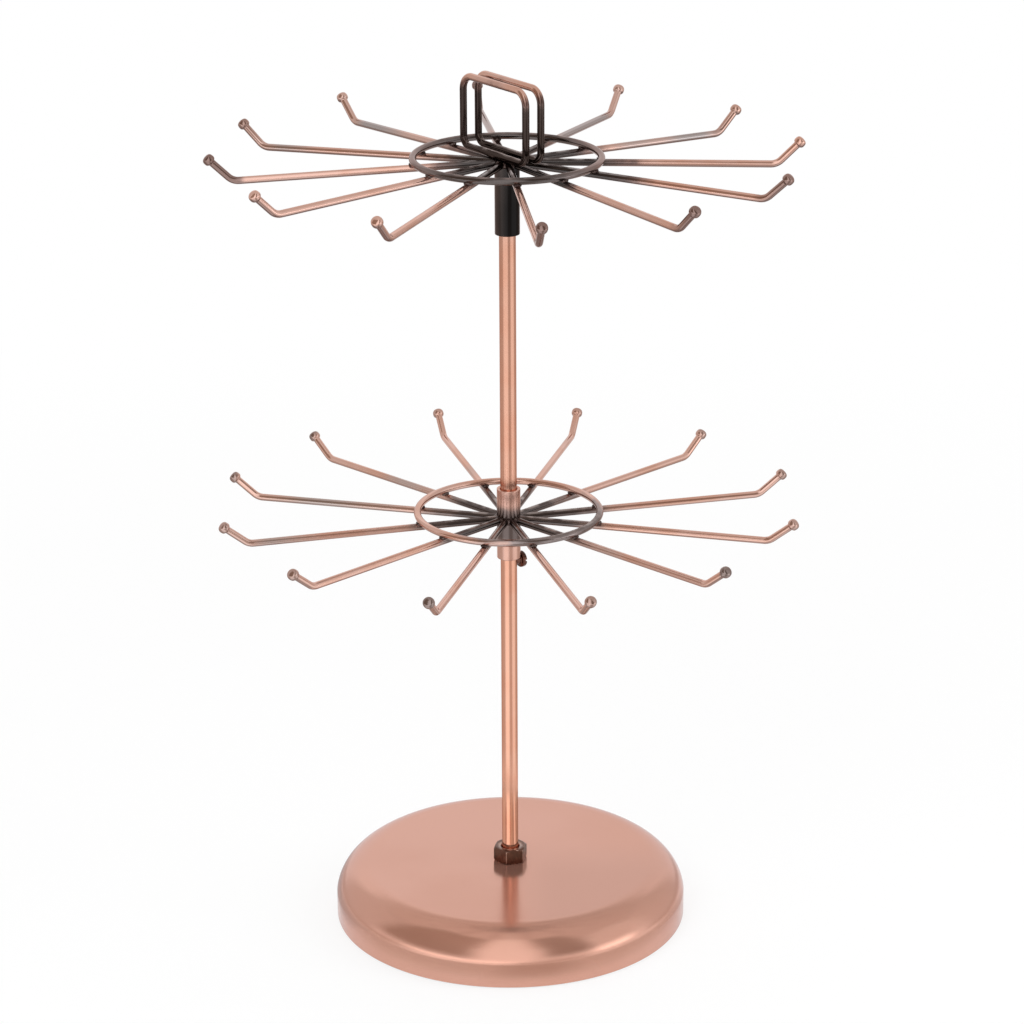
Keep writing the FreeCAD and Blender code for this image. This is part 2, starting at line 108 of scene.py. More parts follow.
class NodeBoard:
    """A node tree with a short way to add a node and wire its inputs at once."""

    def __init__(self, tree: bpy.types.NodeTree) -> None:
        """Start on an existing tree.

        Args:
            tree: The shader or geometry tree that the nodes go into.
        """
        self.tree = tree

    def add(self, kind: str, inputs: dict | None = None, **settings: object) -> bpy.types.Node:
        """Add one node.

        Args:
            kind: The node's type, such as "ShaderNodeMath".
            inputs: Socket name or index to a value, or to another node's output socket.
            settings: The node's own properties, such as its operation.

        Returns:
            The new node.
        """
        node = self.tree.nodes.new(kind)
        for name, value in settings.items():
            setattr(node, name, value)
        for key, value in (inputs or {}).items():
            if isinstance(value, Socket):
                self.tree.links.new(value, node.inputs[key])
            else:
                node.inputs[key].default_value = value
        return node

    def math(self, operation: str, *values: object, clamp: bool = False) -> Socket:
        """Add a math node.

        Args:
            operation: The math node's operation.
            values: Its inputs in order, numbers or sockets.
            clamp: Whether the result is held between 0 and 1.

        Returns:
            The node's result.
        """
        return self.add("ShaderNodeMath", dict(enumerate(values)), operation=operation,
                        use_clamp=clamp).outputs[0]

    def vector_math(self, operation: str, *values: object) -> Socket:
        """Add a vector math node whose result is a vector."""
        return self.add("ShaderNodeVectorMath", dict(enumerate(values)),
                        operation=operation).outputs["Vector"]

    def measure(self, operation: str, *values: object) -> Socket:
        """Add a vector math node whose result is a number, such as a length."""
        return self.add("ShaderNodeVectorMath", dict(enumerate(values)),
                        operation=operation).outputs["Value"]

    def vector(self, x: object, y: object, z: object) -> Socket:
        """Join three numbers or sockets into a vector."""
        return self.add("ShaderNodeCombineXYZ", {"X": x, "Y": y, "Z": z}).outputs[0]

    def blend(self, factor: object, first: object, second: object) -> Socket:
        """Mix two colours.

        Args:
            factor: 0 gives the first colour and 1 the second.
            first: A colour of four numbers, or a socket.
            second: A colour of four numbers, or a socket.

        Returns:
            The mixed colour.
        """
        node = self.add("ShaderNodeMix", {0: factor, 6: first, 7: second}, data_type="RGBA")
        return node.outputs[2]

    def spread(self, value: object, low: object, high: object, to_low: object = 0.0,
               to_high: object = 1.0) -> Socket:
        """Map a value smoothly from one range to another.

        Args:
            value: The number to map.
            low: Where the result is to_low.
            high: Where the result is to_high.
            to_low: The result at low and beyond.
            to_high: The result at high and beyond.

        Returns:
            The mapped number.
        """
        node = self.add("ShaderNodeMapRange", {"Value": value, "From Min": low, "From Max": high,
                                               "To Min": to_low, "To Max": to_high},
                        interpolation_type="SMOOTHSTEP")
        return node.outputs[0]

    def cloud(self, place: object, scale: float, detail: float = 3.0,
              roughness: float = 0.5) -> Socket:
        """Soft noise from 0 to 1.

        Args:
            place: The coordinates that it reads.
            scale: Its waves per metre.
            detail: How many finer layers it has.
            roughness: How strong the finer layers are.

        Returns:
            The noise's value.
        """
        return self.add("ShaderNodeTexNoise", {"Vector": place, "Scale": scale, "Detail": detail,
                                               "Roughness": roughness}).outputs[0]


class Surface(NodeBoard):
    """The nodes of one new material: what it reads from the piece, and how it ends."""

    def __init__(self, name: str) -> None:
        """Make the material.

        Args:
            name: Its name.
        """
        self.material = bpy.data.materials.new(name)
        self.material.use_nodes = True
        super().__init__(self.material.node_tree)

    @cached_property
    def place(self) -> Socket:
        """Each point's place in the frame."""
        return self.add("ShaderNodeTexCoord").outputs["Object"]

    def outwards(self) -> Socket:
        """The level vector from the pole's axis."""
        return self.vector_math("MULTIPLY", self.place, (1.0, 1.0, 0.0))

    def radius(self) -> Socket:
        """Distance from the pole's axis."""
        return self.measure("LENGTH", self.outwards())

    def height(self) -> Socket:
        """Height above the floor."""
        return self.add("ShaderNodeSeparateXYZ", {0: self.place}).outputs[2]

    def along(self, side: Direction) -> Socket:
        """Distance towards a side."""
        return self.measure("DOT_PRODUCT", self.place, side)

    def patches(self, scale: float, low: float, high: float, detail: float = 3.0,
                roughness: float = 0.5) -> Socket:
        """Soft patches with clear ground between them.

        Args:
            scale: Patches per metre.
            low: Noise up to which the ground is clear.
            high: Noise from which a patch is full.
            detail: How many finer layers the noise has.
            roughness: How strong the finer layers are.

        Returns:
            0 on clear ground and 1 in a patch.
        """
        return self.spread(self.cloud(self.place, scale, detail, roughness), low, high)

    def vary(self, mean: object, swing: float, pattern: Socket) -> Socket:
        """Let a pattern swing a value round its mean.

        Args:
            mean: The value in the middle of the swing, a number or a socket.
            swing: From the least value to the greatest.
            pattern: The pattern, from 0 to 1.

        Returns:
            The varied value.
        """
        return self.math("MULTIPLY_ADD", self.math("SUBTRACT", pattern, 0.5), swing, mean)

    def upward(self) -> Socket:
        """How far the surface faces up, from -1 to 1."""
        normal = self.add("ShaderNodeNewGeometry").outputs["Normal"]
        return self.add("ShaderNodeSeparateXYZ", {0: normal}).outputs[2]

    def finish(self, colour: Socket, rough: Socket, metallic: float, relief: Socket,
               depth: float, strength: float = 1.0,
               edge: Colour = (1.0, 1.0, 1.0)) -> bpy.types.Material:
        """Wire the shader and hand the material over.

        Args:
            colour: Its colour.
            rough: Its roughness.
            metallic: 1 for bare metal and 0 for rubber.
            relief: Pattern of its finest marks, from 0 to 1.
            depth: Height of those marks.
            strength: How strongly they tilt the surface.
            edge: Tint of the metal at a glancing angle.

        Returns:
            The finished material.
        """
        shader = self.tree.nodes["Principled BSDF"]
        bump = self.add("ShaderNodeBump", {"Height": relief, "Distance": depth,
                                           "Strength": strength}).outputs[0]
        for label, value in (("Base Color", colour), ("Roughness", rough), ("Normal", bump)):
            self.tree.links.new(value, shader.inputs[label])
        shader.inputs["Metallic"].default_value = metallic
        shader.inputs["Specular Tint"].default_value = opaque(edge)
        return self.material

    def end_in(self, share: Socket, first: bpy.types.Node, second: bpy.types.Node) -> None:
        """End the material in a mix of two shaders.

        Args:
            share: 0 gives the first shader and 1 the second.
            first: The first shader.
            second: The second shader.
        """
        mixed = self.add("ShaderNodeMixShader", {0: share, 1: first.outputs[0],
                                                 2: second.outputs[0]})
        self.tree.links.new(mixed.outputs[0], self.tree.nodes["Material Output"].inputs[0])


# ------------------------------------------------------------------ finishes

class Fade(Enum):
    """What the dark patina of a piece follows."""

    NONE = "none"
    RADIUS = "distance from the pole"
    HEIGHT = "height"
    SIDES = "distance to either side of the pole, along the lean"
    LEAN = "distance from the pole towards the lean"
    WELD = "distance above or below a weld"


@dataclass(frozen=True)
class Patina:
    """Where heat and acid have left the copper plate brown and black.

    Attributes:
        follows: What the darkness is read from.
        dark_at: Where that is darkest.
        clean_at: Where the copper is clean.
        weld: Height of the weld, where it is read from one.
        lean: Direction in the frame towards which the piece is darker.
        lean_share: How strongly it is darker on that side, from -1 to 1.
        mottle: How ragged the border is, as a share of the fade.
        drift: How far the border wanders from one wire to the next, in metres.
        tips_at: Radius beyond which the beads are stained again, or 0.
        tip_fade: How far beyond it the stain is full.
        tip_share: How strongly the beads are stained.
        tip_range: The least and the greatest part of that which a bead gets.
    """

    follows: Fade = Fade.NONE
    dark_at: float = 0.0
    clean_at: float = 0.0
    weld: float = 0.0
    lean: Direction = (0.0, 0.0, 0.0)
    lean_share: float = 0.0
    mottle: float = 0.45
    drift: float = 0.0
    tips_at: float = 0.0
    tip_fade: float = 3.0 * MM
    tip_share: float = 0.56
    tip_range: tuple[float, float] = (0.35, 1.15)

    def distance(self, surface: Surface) -> Socket:
        """What the darkness is read from, at each point.

        Args:
            surface: The finish's nodes.

        Returns:
            A length in metres.
        """
        if self.follows is Fade.HEIGHT:
            return surface.height()
        if self.follows is Fade.WELD:
            return surface.math("ABSOLUTE", surface.math("SUBTRACT", surface.height(), self.weld))
        if self.follows is Fade.LEAN:
            return surface.along(self.lean)
        if self.follows is Fade.SIDES:
            return surface.math("ABSOLUTE", surface.along(self.lean))
        return surface.radius()

    def cleanliness(self, surface: Surface) -> object:
        """How clean the copper is at each point.

        Args:
            surface: The finish's nodes.

        Returns:
            0 in the full patina and 1 on clean copper, as a socket or a number.
        """
        if self.follows is Fade.NONE:
            return 1.0
        width = self.clean_at - self.dark_at
        place = surface.place
        # Noise keeps to the middle of its range, so the border moves less than these swings say.
        border = surface.vary(self.distance(surface), 2.0 * self.mottle * width,
                              surface.cloud(place, scale=90.0, detail=4.0, roughness=0.6))
        border = surface.vary(border, 4.0 * self.drift, surface.cloud(place, 17.0, detail=1.0))
        side = surface.vector_math("NORMALIZE", surface.outwards())
        leaning = surface.measure("DOT_PRODUCT", side, self.lean)
        border = surface.math("MULTIPLY_ADD", leaning, -self.lean_share * width, border)
        clean = surface.spread(border, self.dark_at, self.clean_at)
        if self.tips_at:
            tip = surface.spread(surface.radius(), self.tips_at, self.tips_at + self.tip_fade)
            uneven = surface.spread(surface.cloud(place, scale=13.0, detail=1.0), 0.35, 0.65,
                                    *self.tip_range)
            stain = surface.math("MULTIPLY", tip, uneven)
            clean = surface.math("MULTIPLY_ADD", stain, -self.tip_share, clean, clamp=True)
        return clean


@dataclass(frozen=True)
class AgedCopper:
    """Copper plate on steel wire or sheet, with a patina that turns it brown, then black.

    Attributes:
        name: The material's name.
        copper: Colour of the clean plate.
        blush: Colour of its warmer patches.
        thin: Colour where the plate is thin and the steel shows through, and of the painted
            highlights on the black.
        brown: Colour half way into the patina, and of the painted shade on the undersides.
        black: Colour of the full patina.
        patina: Where the patina lies.
        thin_side: Direction towards which the plate is thinner, as long as its rate per metre.
        thin_start: How far that has to go before it shows.
        thin_ends: Radii between which the thin patches die out towards the tips.
        painted_glint: How strongly painted highlights lighten the black, in patches along the tops
            of the wires.
        under: How strongly painted shade turns the undersides of the wires brown.
        gloss: Roughness of the clean plate.
        dull: Roughness of the full patina.
        wear: How much the roughness swings round those two.
        grain: Height of the finest scratches.
        edge: Tint of the metal at a glancing angle.
    """

    name: str
    copper: Colour = (0.77, 0.495, 0.415)
    blush: Colour = (0.72, 0.42, 0.325)
    thin: Colour = (0.48, 0.42, 0.40)
    brown: Colour = (0.24, 0.165, 0.15)
    black: Colour = (0.080, 0.070, 0.068)
    patina: Patina = field(default_factory=Patina)
    thin_side: Direction = (0.0, 0.0, 0.0)
    thin_start: float = 0.0
    thin_ends: tuple[float, float] = (101.0 * MM, 112.0 * MM)
    painted_glint: float = 0.55
    under: float = 0.75
    gloss: float = 0.11
    dull: float = 0.12
    wear: float = 0.10
    grain: float = 0.004 * MM
    edge: Colour = (0.78, 0.70, 0.68)

    def plate(self, surface: Surface) -> Socket:
        """The plate's own colour: warmer in patches, and thin in others but for the tips.

        Args:
            surface: The finish's nodes.

        Returns:
            The colour where the piece is clean.
        """
        rich = surface.blend(surface.patches(55.0, low=0.42, high=0.68), opaque(self.copper),
                             opaque(self.blush))
        thinning = surface.math("SUBTRACT", surface.along(self.thin_side), self.thin_start)
        patch = surface.math("ADD", surface.cloud(surface.place, scale=11.0, detail=2.0), thinning)
        inside_tips = surface.spread(surface.radius(), *self.thin_ends, to_low=0.9, to_high=0.2)
        bare = surface.math("MULTIPLY", surface.spread(patch, low=0.54, high=0.68), inside_tips)
        return surface.blend(bare, rich, opaque(self.thin))

    def black_with_glint(self, surface: Surface, upward: Socket) -> Socket:
        """The full patina's colour, lightened by painted highlights in patches along the tops of
        the wires.

        Args:
            surface: The finish's nodes.
            upward: How far the surface faces up.

        Returns:
            The colour where the piece is darkest.
        """
        # Painted highlight: where the wires face up, the black turns lighter in patches.
        on_top = surface.spread(upward, low=0.60, high=0.95)
        glint_patches = surface.math("MULTIPLY", on_top, surface.patches(160.0, low=0.40, high=0.62))
        share = surface.math("MULTIPLY", glint_patches, self.painted_glint)
        return surface.blend(share, opaque(self.black), opaque(self.thin))

    def build(self) -> bpy.types.Material:
        """Make the material.

        Returns:
            The finished material.
        """
        surface = Surface(self.name)
        clean = self.patina.cleanliness(surface)
        upward = surface.upward()
        first_half = surface.math("MULTIPLY", clean, 2.0, clamp=True)
        second_half = surface.math("MULTIPLY_ADD", clean, 2.0, -1.0, clamp=True)
        stained = surface.blend(first_half, self.black_with_glint(surface, upward),
                                opaque(self.brown))
        # Painted shade: the undersides of the wires turn brown.
        underneath = surface.spread(upward, low=-0.60, high=0.05, to_low=1.0, to_high=0.0)
        underside_shade = surface.math("MULTIPLY", self.under, underneath)
        plate = surface.blend(underside_shade, self.plate(surface), opaque(self.brown))
        rough = surface.vary(surface.spread(clean, 0.0, 1.0, self.dull, self.gloss), self.wear,
                             surface.cloud(surface.place, scale=900.0, detail=2.0))
        scratches = surface.cloud(surface.place, scale=3500.0, detail=2.0, roughness=0.7)
        return surface.finish(surface.blend(second_half, stained, plate), rough, metallic=1.0,
                              relief=scratches, depth=self.grain, strength=0.6, edge=self.edge)


@dataclass(frozen=True)
class Slope:
    """A direction in which something comes in, and where it starts and is full.

    Attributes:
        side: The direction.
        start: Distance along it, from the axis, where it starts.
        end: Distance along it where it is full.
    """

    side: Direction
    start: float
    end: float


@dataclass(frozen=True)
class SpunCopper:
    """Copper plate on a sheet spun on a lathe: soft mirror with the finest rings in it.

    Attributes:
        name: The material's name.
        copper: Colour of the plate.
        blush: Colour of its warmer patches.
        painted_shade: Colour of the painted shade on part of the top.
        shade_full: Radius within which the painted shade is full.
        shade_ends: Radius at which it ends.
        slopes: Directions in which the painted shade comes in; it is full where all of them have.
        gloss: Roughness of the sheet, at its mean.
        ring_swing: How much the rings swing it.
        smudge_swing: How much the smudges swing it.
        ring_count: Lathe rings per metre of radius.
        ring_depth: Depth of the rings.
        mirror_share: How much of the light it mirrors; the lacquer scatters the rest.
        edge: Tint of the metal at a glancing angle.
    """

    name: str
    copper: Colour = (0.69, 0.378, 0.290)
    blush: Colour = (0.655, 0.348, 0.260)
    painted_shade: Colour = (0.600, 0.326, 0.248)
    shade_full: float = 64.0 * MM
    shade_ends: float = 76.0 * MM
    slopes: tuple[Slope, ...] = ()
    gloss: float = 0.175
    ring_swing: float = 0.05
    smudge_swing: float = 0.08
    ring_count: float = 2600.0
    ring_depth: float = 0.0012 * MM
    mirror_share: float = 0.80
    edge: Colour = (0.84, 0.82, 0.85)

    def build(self) -> bpy.types.Material:
        """Make the material.

        Returns:
            The finished material.
        """
        surface = Surface(self.name)
        radius = surface.radius()
        ring_place = surface.vector(surface.math("MULTIPLY", radius, self.ring_count),
                                    surface.math("MULTIPLY", surface.height(), self.ring_count),
                                    0.0)
        rings = surface.cloud(ring_place, scale=1.0, roughness=0.65)
        plate = surface.blend(surface.patches(14.0, low=0.40, high=0.70), opaque(self.copper),
                              opaque(self.blush))
        # Painted shade: the top is darker towards the sides that the slopes give.
        shade_share = surface.spread(radius, self.shade_full, self.shade_ends, 1.0, 0.0)
        for slope in self.slopes:
            share = surface.spread(surface.along(slope.side), slope.start, slope.end)
            shade_share = surface.math("MULTIPLY", shade_share, share)
        smudges = surface.cloud(surface.place, scale=38.0, detail=4.0, roughness=0.6)
        rough = surface.vary(surface.vary(self.gloss, self.ring_swing, rings),
                             self.smudge_swing, smudges)
        return surface.finish(surface.blend(shade_share, plate, opaque(self.painted_shade)), rough,
                              metallic=self.mirror_share, relief=rings, depth=self.ring_depth,
                              edge=self.edge)


@dataclass(frozen=True)
class PlainFinish:
    """A finish with one main colour, a cloudy second one and a fine grain.

    Attributes:
        name: The material's name.
        colour: The main colour.
        second: The colour of its clouds.
        metallic: 1 for bare metal and 0 for rubber.
        rough: Roughness, at its mean.
        rough_swing: How much the grain swings it.
        cloud_scale: Clouds per metre.
        grain_scale: Grains per metre.
        grain: Height of the grain.
        edge_wear_and_glint: Colour of worn corners, which also carries a painted highlight, or
            None.
    """

    name: str
    colour: Colour
    second: Colour
    metallic: float
    rough: float
    rough_swing: float = 0.16
    cloud_scale: float = 90.0
    grain_scale: float = 2500.0
    grain: float = 0.02 * MM
    edge_wear_and_glint: Colour | None = None

    def build(self) -> bpy.types.Material:
        """Make the material.

        Returns:
            The finished material.
        """
        surface = Surface(self.name)
        clouds = surface.patches(self.cloud_scale, low=0.35, high=0.70, detail=4.0,
                                 roughness=0.6)
        colour = surface.blend(clouds, opaque(self.colour), opaque(self.second))
        if self.edge_wear_and_glint is not None:
            # Worn corners, lightened as well by a painted highlight along the sharp edges.
            bend = surface.add("ShaderNodeNewGeometry").outputs["Pointiness"]
            wear_and_glint = surface.spread(bend, low=0.522, high=0.575)
            colour = surface.blend(wear_and_glint, colour, opaque(self.edge_wear_and_glint))
        grains = surface.cloud(surface.place, self.grain_scale, roughness=0.6)
        rough = surface.vary(self.rough, self.rough_swing, grains)
        return surface.finish(colour, rough, self.metallic, relief=grains, depth=self.grain,
                              strength=0.8)


# ------------------------------------------------------------------ meshes by hand

def finish_mesh(mesh: bpy.types.Mesh, crease_degrees: float) -> None:
    """Smooth a mesh except at its sharp corners.

    Args:
        mesh: The mesh.
        crease_degrees: Corners sharper than this stay sharp.
    """
    mesh.validate()
    mesh.shade_smooth()
    mesh.set_sharp_from_angle(angle=math.radians(crease_degrees))


def new_piece(name: str, mesh: bpy.types.Mesh, finish: bpy.types.Material) -> bpy.types.Object:
    """Link a mesh into the scene as a piece.

    Args:
        name: The piece's name.
        mesh: Its mesh, already in place in the frame.
        finish: Its material.

    Returns:
        The new object.
    """
    piece = bpy.data.objects.new(name, mesh)
    mesh.materials.clear()
    mesh.materials.append(finish)
    bpy.context.scene.collection.objects.link(piece)
    return piece


def grid_mesh(name: str, rows: Sequence[Sequence[Vector]], loop_rows: bool) -> bpy.types.Mesh:
    """Skin a grid of points whose columns close on themselves.

    Args:
        name: The mesh's name.
        rows: Rows of points; each row is one closed ring round the piece.
        loop_rows: Whether the last row joins the first, as in a tube wall with a bore.

    Returns:
        The mesh, with its faces outwards when rows run up the outside anticlockwise.
    """
    around = len(rows[0])
    points = [point for row in rows for point in row]
    count = len(rows) if loop_rows else len(rows) - 1
    faces = []
    for i in range(count):
        low, high = i * around, (i + 1) % len(rows) * around
        for j in range(around):
            k = (j + 1) % around
            faces.append((low + j, low + k, high + k, high + j))
    if not loop_rows:
        faces.append(tuple(reversed(range(around))))
        faces.append(tuple(range(len(points) - around, len(points))))
    mesh = bpy.data.meshes.new(name)
    mesh.from_pydata(points, [], faces)
    return mesh


def lathe(name: str, outline: Profile, steps: int, loop: bool = True) -> bpy.types.Mesh:
    """Turn an outline about the Z axis.

    Args:
        name: The mesh's name.
        outline: Radius and height of each corner, up the outside and down the inside.
        steps: Divisions round the axis.
        loop: Whether the outline closes on itself; if not, its two ends are capped.

    Returns:
        The turned mesh.
    """
    turns = [2 * math.pi * j / steps for j in range(steps)]
    rows = [[Vector((r * math.cos(a), r * math.sin(a), z)) for a in turns] for r, z in outline]
    return grid_mesh(name, rows, loop)


def arc(centre: tuple[float, float], radius: float, start: float, end: float,
        steps: int) -> Profile:
    """Points on an arc of an outline.

    Args:
        centre: The arc's centre, as radius and height.
        radius: The arc's own radius.
        start: First angle in degrees, 0 pointing outwards and 90 up.
        end: Last angle in degrees.
        steps: Number of stretches.

    Returns:
        steps + 1 points, both ends included.
    """
    found = []
    for i in range(steps + 1):
        angle = math.radians(start + (end - start) * i / steps)
        found.append((centre[0] + radius * math.cos(angle), centre[1] + radius * math.sin(angle)))
    return found


def rounded(corners: Profile, radius: float, steps: int = 4) -> Profile:
    """Round every corner of a closed outline.

    Args:
        corners: The outline's corners.
        radius: How far from a corner the rounding starts, at most.
        steps: Stretches in each rounding.

    Returns:
        The rounded outline.
    """
    found = []
    for i, corner in enumerate(corners):
        here = Vector(corner)
        ends = []
        for other in (corners[i - 1], corners[(i + 1) % len(corners)]):
            away = Vector(other) - here
            ends.append(here + away.normalized() * min(radius, away.length * 0.45))
        for k in range(steps + 1):
            t = k / steps
            point = ends[0] * (1 - t) ** 2 + here * 2 * t * (1 - t) + ends[1] * t ** 2
            found.append((point.x, point.y))
    return found


# ------------------------------------------------------------------ geometry node trees

# Width of a bead, as a share of its widest, along its length from the neck to the crown.
BEAD_OUTLINE = ((0.0, 0.60), (0.14, 0.66), (0.24, 0.86), (0.36, 0.975), (0.50, 1.0),
                (0.68, 0.975), (0.82, 0.88), (0.94, 0.62), (1.0, 0.0))
# Where the neck and the crown lie on the rising end's line, in bead radii past its tip.
BEAD_NECK, BEAD_CROWN = -0.95, 0.80


class WireTree(NodeBoard):
    """A geometry tree with named inputs, used once to make one plain mesh."""

    def __init__(self, name: str, sizes: dict[str, object]) -> None:
        """Make the tree and its inputs.

        Args:
            name: The tree's name.
            sizes: Input name to its value: a float, an int, or a material.
        """
        tree = bpy.data.node_groups.new(name, "GeometryNodeTree")
        super().__init__(tree)
        self.sizes = sizes
        self.identifiers = {}
        tree.interface.new_socket("Geometry", in_out="INPUT", socket_type="NodeSocketGeometry")
        for label, value in sizes.items():
            kind = ("NodeSocketInt" if isinstance(value, int) else
                    "NodeSocketMaterial" if isinstance(value, bpy.types.Material) else
                    "NodeSocketFloat")
            socket = tree.interface.new_socket(label, in_out="INPUT", socket_type=kind)
            self.identifiers[label] = socket.identifier
        tree.interface.new_socket("Geometry", in_out="OUTPUT", socket_type="NodeSocketGeometry")
        self.given = self.add("NodeGroupInput").outputs

    def choose(self, past: Socket, before: Socket, after: Socket) -> Socket:
        """Pick one of two points: the second one where the first socket is 1."""
        return self.add("ShaderNodeMix", {0: past, 4: before, 5: after},
                        data_type="VECTOR").outputs[1]

    def section(self, radius: str) -> Socket:
        """A round section, as wide as the tree's input of that name says."""
        return self.add("GeometryNodeCurvePrimitiveCircle",
                        {"Resolution": WIRE_SIDES, "Radius": self.given[radius]}).outputs["Curve"]

    def sweep(self, curve: Socket, caps: bool) -> Socket:
        """Give a curve the wire's round section, from the tree's "Wire Radius" input.

        Args:
            curve: The wire's centre line.
            caps: Whether the ends are closed.

        Returns:
            The wire's mesh.
        """
        return self.add("GeometryNodeCurveToMesh",
                        {"Curve": curve, "Profile Curve": self.section("Wire Radius"),
                         "Fill Caps": caps}).outputs[0]

    def moved(self, shape: Socket, **changes: object) -> Socket:
        """Move, turn or scale a shape, as Translation, Rotation and Scale say."""
        return self.add("GeometryNodeTransform", {"Geometry": shape, **changes}).outputs[0]

    def place_round(self, shape: Socket, count: object, start_turn: object) -> Socket:
        """Repeat a shape at even turns about the Z axis.

        Args:
            shape: The shape, lying along +X.
            count: How many there are.
            start_turn: The first one's turn, in radians.

        Returns:
            The instances.
        """
        spots = self.add("GeometryNodeMeshLine", {"Count": count, "Offset": (0.0, 0.0, 0.0)})
        step = self.math("DIVIDE", 2 * math.pi, count)
        index = self.add("GeometryNodeInputIndex").outputs[0]
        turn = self.math("MULTIPLY_ADD", index, step, start_turn)
        return self.add("GeometryNodeInstanceOnPoints",
                        {"Points": spots.outputs[0], "Instance": shape,
                         "Rotation": self.vector(0.0, 0.0, turn)}).outputs[0]

    def bake(self, name: str, geometry: Socket) -> bpy.types.Mesh:
        """Finish the tree, run it once and keep the result.

        Args:
            name: The mesh's name.
            geometry: The tree's last geometry.

        Returns:
            The result as a plain mesh.
        """
        real = self.add("GeometryNodeRealizeInstances", {0: geometry}).outputs[0]
        smooth = self.add("GeometryNodeSetShadeSmooth", {"Geometry": real}).outputs[0]
        dressed = self.add("GeometryNodeSetMaterial",
                           {"Geometry": smooth, "Material": self.given["Finish"]}).outputs[0]
        self.add("NodeGroupOutput", {"Geometry": dressed})
        holder = bpy.data.objects.new(name, bpy.data.meshes.new(name))
        bpy.context.scene.collection.objects.link(holder)
        modifier = holder.modifiers.new(self.tree.name, "NODES")
        modifier.node_group = self.tree
        for label, value in self.sizes.items():
            modifier[self.identifiers[label]] = value
        graph = bpy.context.evaluated_depsgraph_get()
        mesh = bpy.data.meshes.new_from_object(holder.evaluated_get(graph))
        bpy.data.objects.remove(holder)
        mesh.name = name
        return mesh


class ArmTree(WireTree):
    """The tree of a tier's arms, each lying along +X before it is repeated."""

    def __init__(self, name: str, sizes: dict[str, object]) -> None:
        """Make the tree and the three corners of an arm's centre line.

        Args:
            name: The tree's name.
            sizes: Input name to its value.
        """
        super().__init__(name, sizes)
        given = self.given
        self.root = self.vector(given["Root Radius"], 0.0, given["Root Height"])
        self.corner = self.vector(given["Reach"], 0.0, given["Corner Height"])
        self.tip = self.vector(given["Tip Across"], 0.0, given["Tip Up"])

    def wire(self) -> Socket:
        """The straight wire, its bend and its rising end.

        Returns:
            The wire's mesh.
        """
        index = self.add("GeometryNodeInputIndex").outputs[0]
        past_root = self.math("GREATER_THAN", index, 0.5)
        past_corner = self.math("GREATER_THAN", index, 1.5)
        to_corner = self.choose(past_root, self.root, self.corner)
        place = self.choose(past_corner, to_corner, self.tip)
        stops = self.add("GeometryNodeMeshLine", {"Count": 3, "Offset": (0.01, 0.0, 0.0)})
        set_out = self.add("GeometryNodeSetPosition",
                           {"Geometry": stops.outputs[0], "Position": place}).outputs[0]
        line = self.add("GeometryNodeMeshToCurve", {0: set_out}).outputs[0]
        bent = self.add("GeometryNodeFilletCurve",
                        {"Curve": line, "Radius": self.given["Bend Radius"],
                         "Limit Radius": True, "Count": 10}, mode="POLY").outputs[0]
        return self.sweep(bent, True)

    def past_tip(self, share: float) -> Socket:
        """A point on the rising end's line.

        Args:
            share: How far it lies past the tip, as a share of the bead's radius.

        Returns:
            The point.
        """
        rising = self.vector_math("NORMALIZE", self.vector_math("SUBTRACT", self.tip, self.corner))
        ahead = self.math("MULTIPLY", self.given["Bead Radius"], share)
        return self.vector_math("MULTIPLY_ADD", rising, self.vector(ahead, ahead, ahead), self.tip)

    def bead(self) -> Socket:
        """The bead on the rising end, turned about that end's own line.

        Returns:
            The bead's mesh.
        """
        stem = self.add("GeometryNodeCurvePrimitiveLine",
                        {"Start": self.past_tip(BEAD_NECK), "End": self.past_tip(BEAD_CROWN)},
                        mode="POINTS").outputs[0]
        stepped = self.add("GeometryNodeResampleCurve", {"Curve": stem, "Count": 40}).outputs[0]
        share = self.add("GeometryNodeSplineParameter").outputs["Factor"]
        swell = self.add("ShaderNodeFloatCurve", {"Value": share})
        points = swell.mapping.curves[0].points
        for spot in BEAD_OUTLINE[1:-1]:
            points.new(*spot)
        points[0].location = BEAD_OUTLINE[0]
        points[len(BEAD_OUTLINE) - 1].location = BEAD_OUTLINE[-1]
        swell.mapping.update()
        return self.add("GeometryNodeCurveToMesh",
                        {"Curve": stepped, "Profile Curve": self.section("Bead Radius"),
                         "Scale": swell.outputs[0], "Fill Caps": True}).outputs[0]


def hook_ring_mesh(name: str, sizes: dict[str, object]) -> bpy.types.Mesh:
    """All the arms of one tier: straight wire, bend, rising tip and bead.

    Args:
        name: The mesh's name.
        sizes: Values of Arm Count, Root Radius, Root Height, Reach, Corner Height, Tip Across,
            Tip Up, Bend Radius, Wire Radius, Bead Radius, Start Turn and Finish.

    Returns:
        The mesh of every arm.
    """
    tree = ArmTree(name + "_tree", sizes)
    arm = tree.add("GeometryNodeJoinGeometry")
    for part in (tree.wire(), tree.bead()):
        tree.tree.links.new(part, arm.inputs[0])
    arms = tree.place_round(arm.outputs[0], tree.given["Arm Count"], tree.given["Start Turn"])
    return tree.bake(name, arms)


def ring_mesh(name: str, sizes: dict[str, object]) -> bpy.types.Mesh:
    """One round ring of wire.

    Args:
        name: The mesh's name.
        sizes: Values of Ring Radius, Ring Height, Wire Radius and Finish.

    Returns:
        The ring's mesh.
    """
    tree = WireTree(name + "_tree", sizes)
    circle = tree.add("GeometryNodeCurvePrimitiveCircle",
                      {"Resolution": 240, "Radius": tree.given["Ring Radius"]}).outputs["Curve"]
    lift = tree.vector(0.0, 0.0, tree.given["Ring Height"])
    return tree.bake(name, tree.moved(tree.sweep(circle, False), Translation=lift))


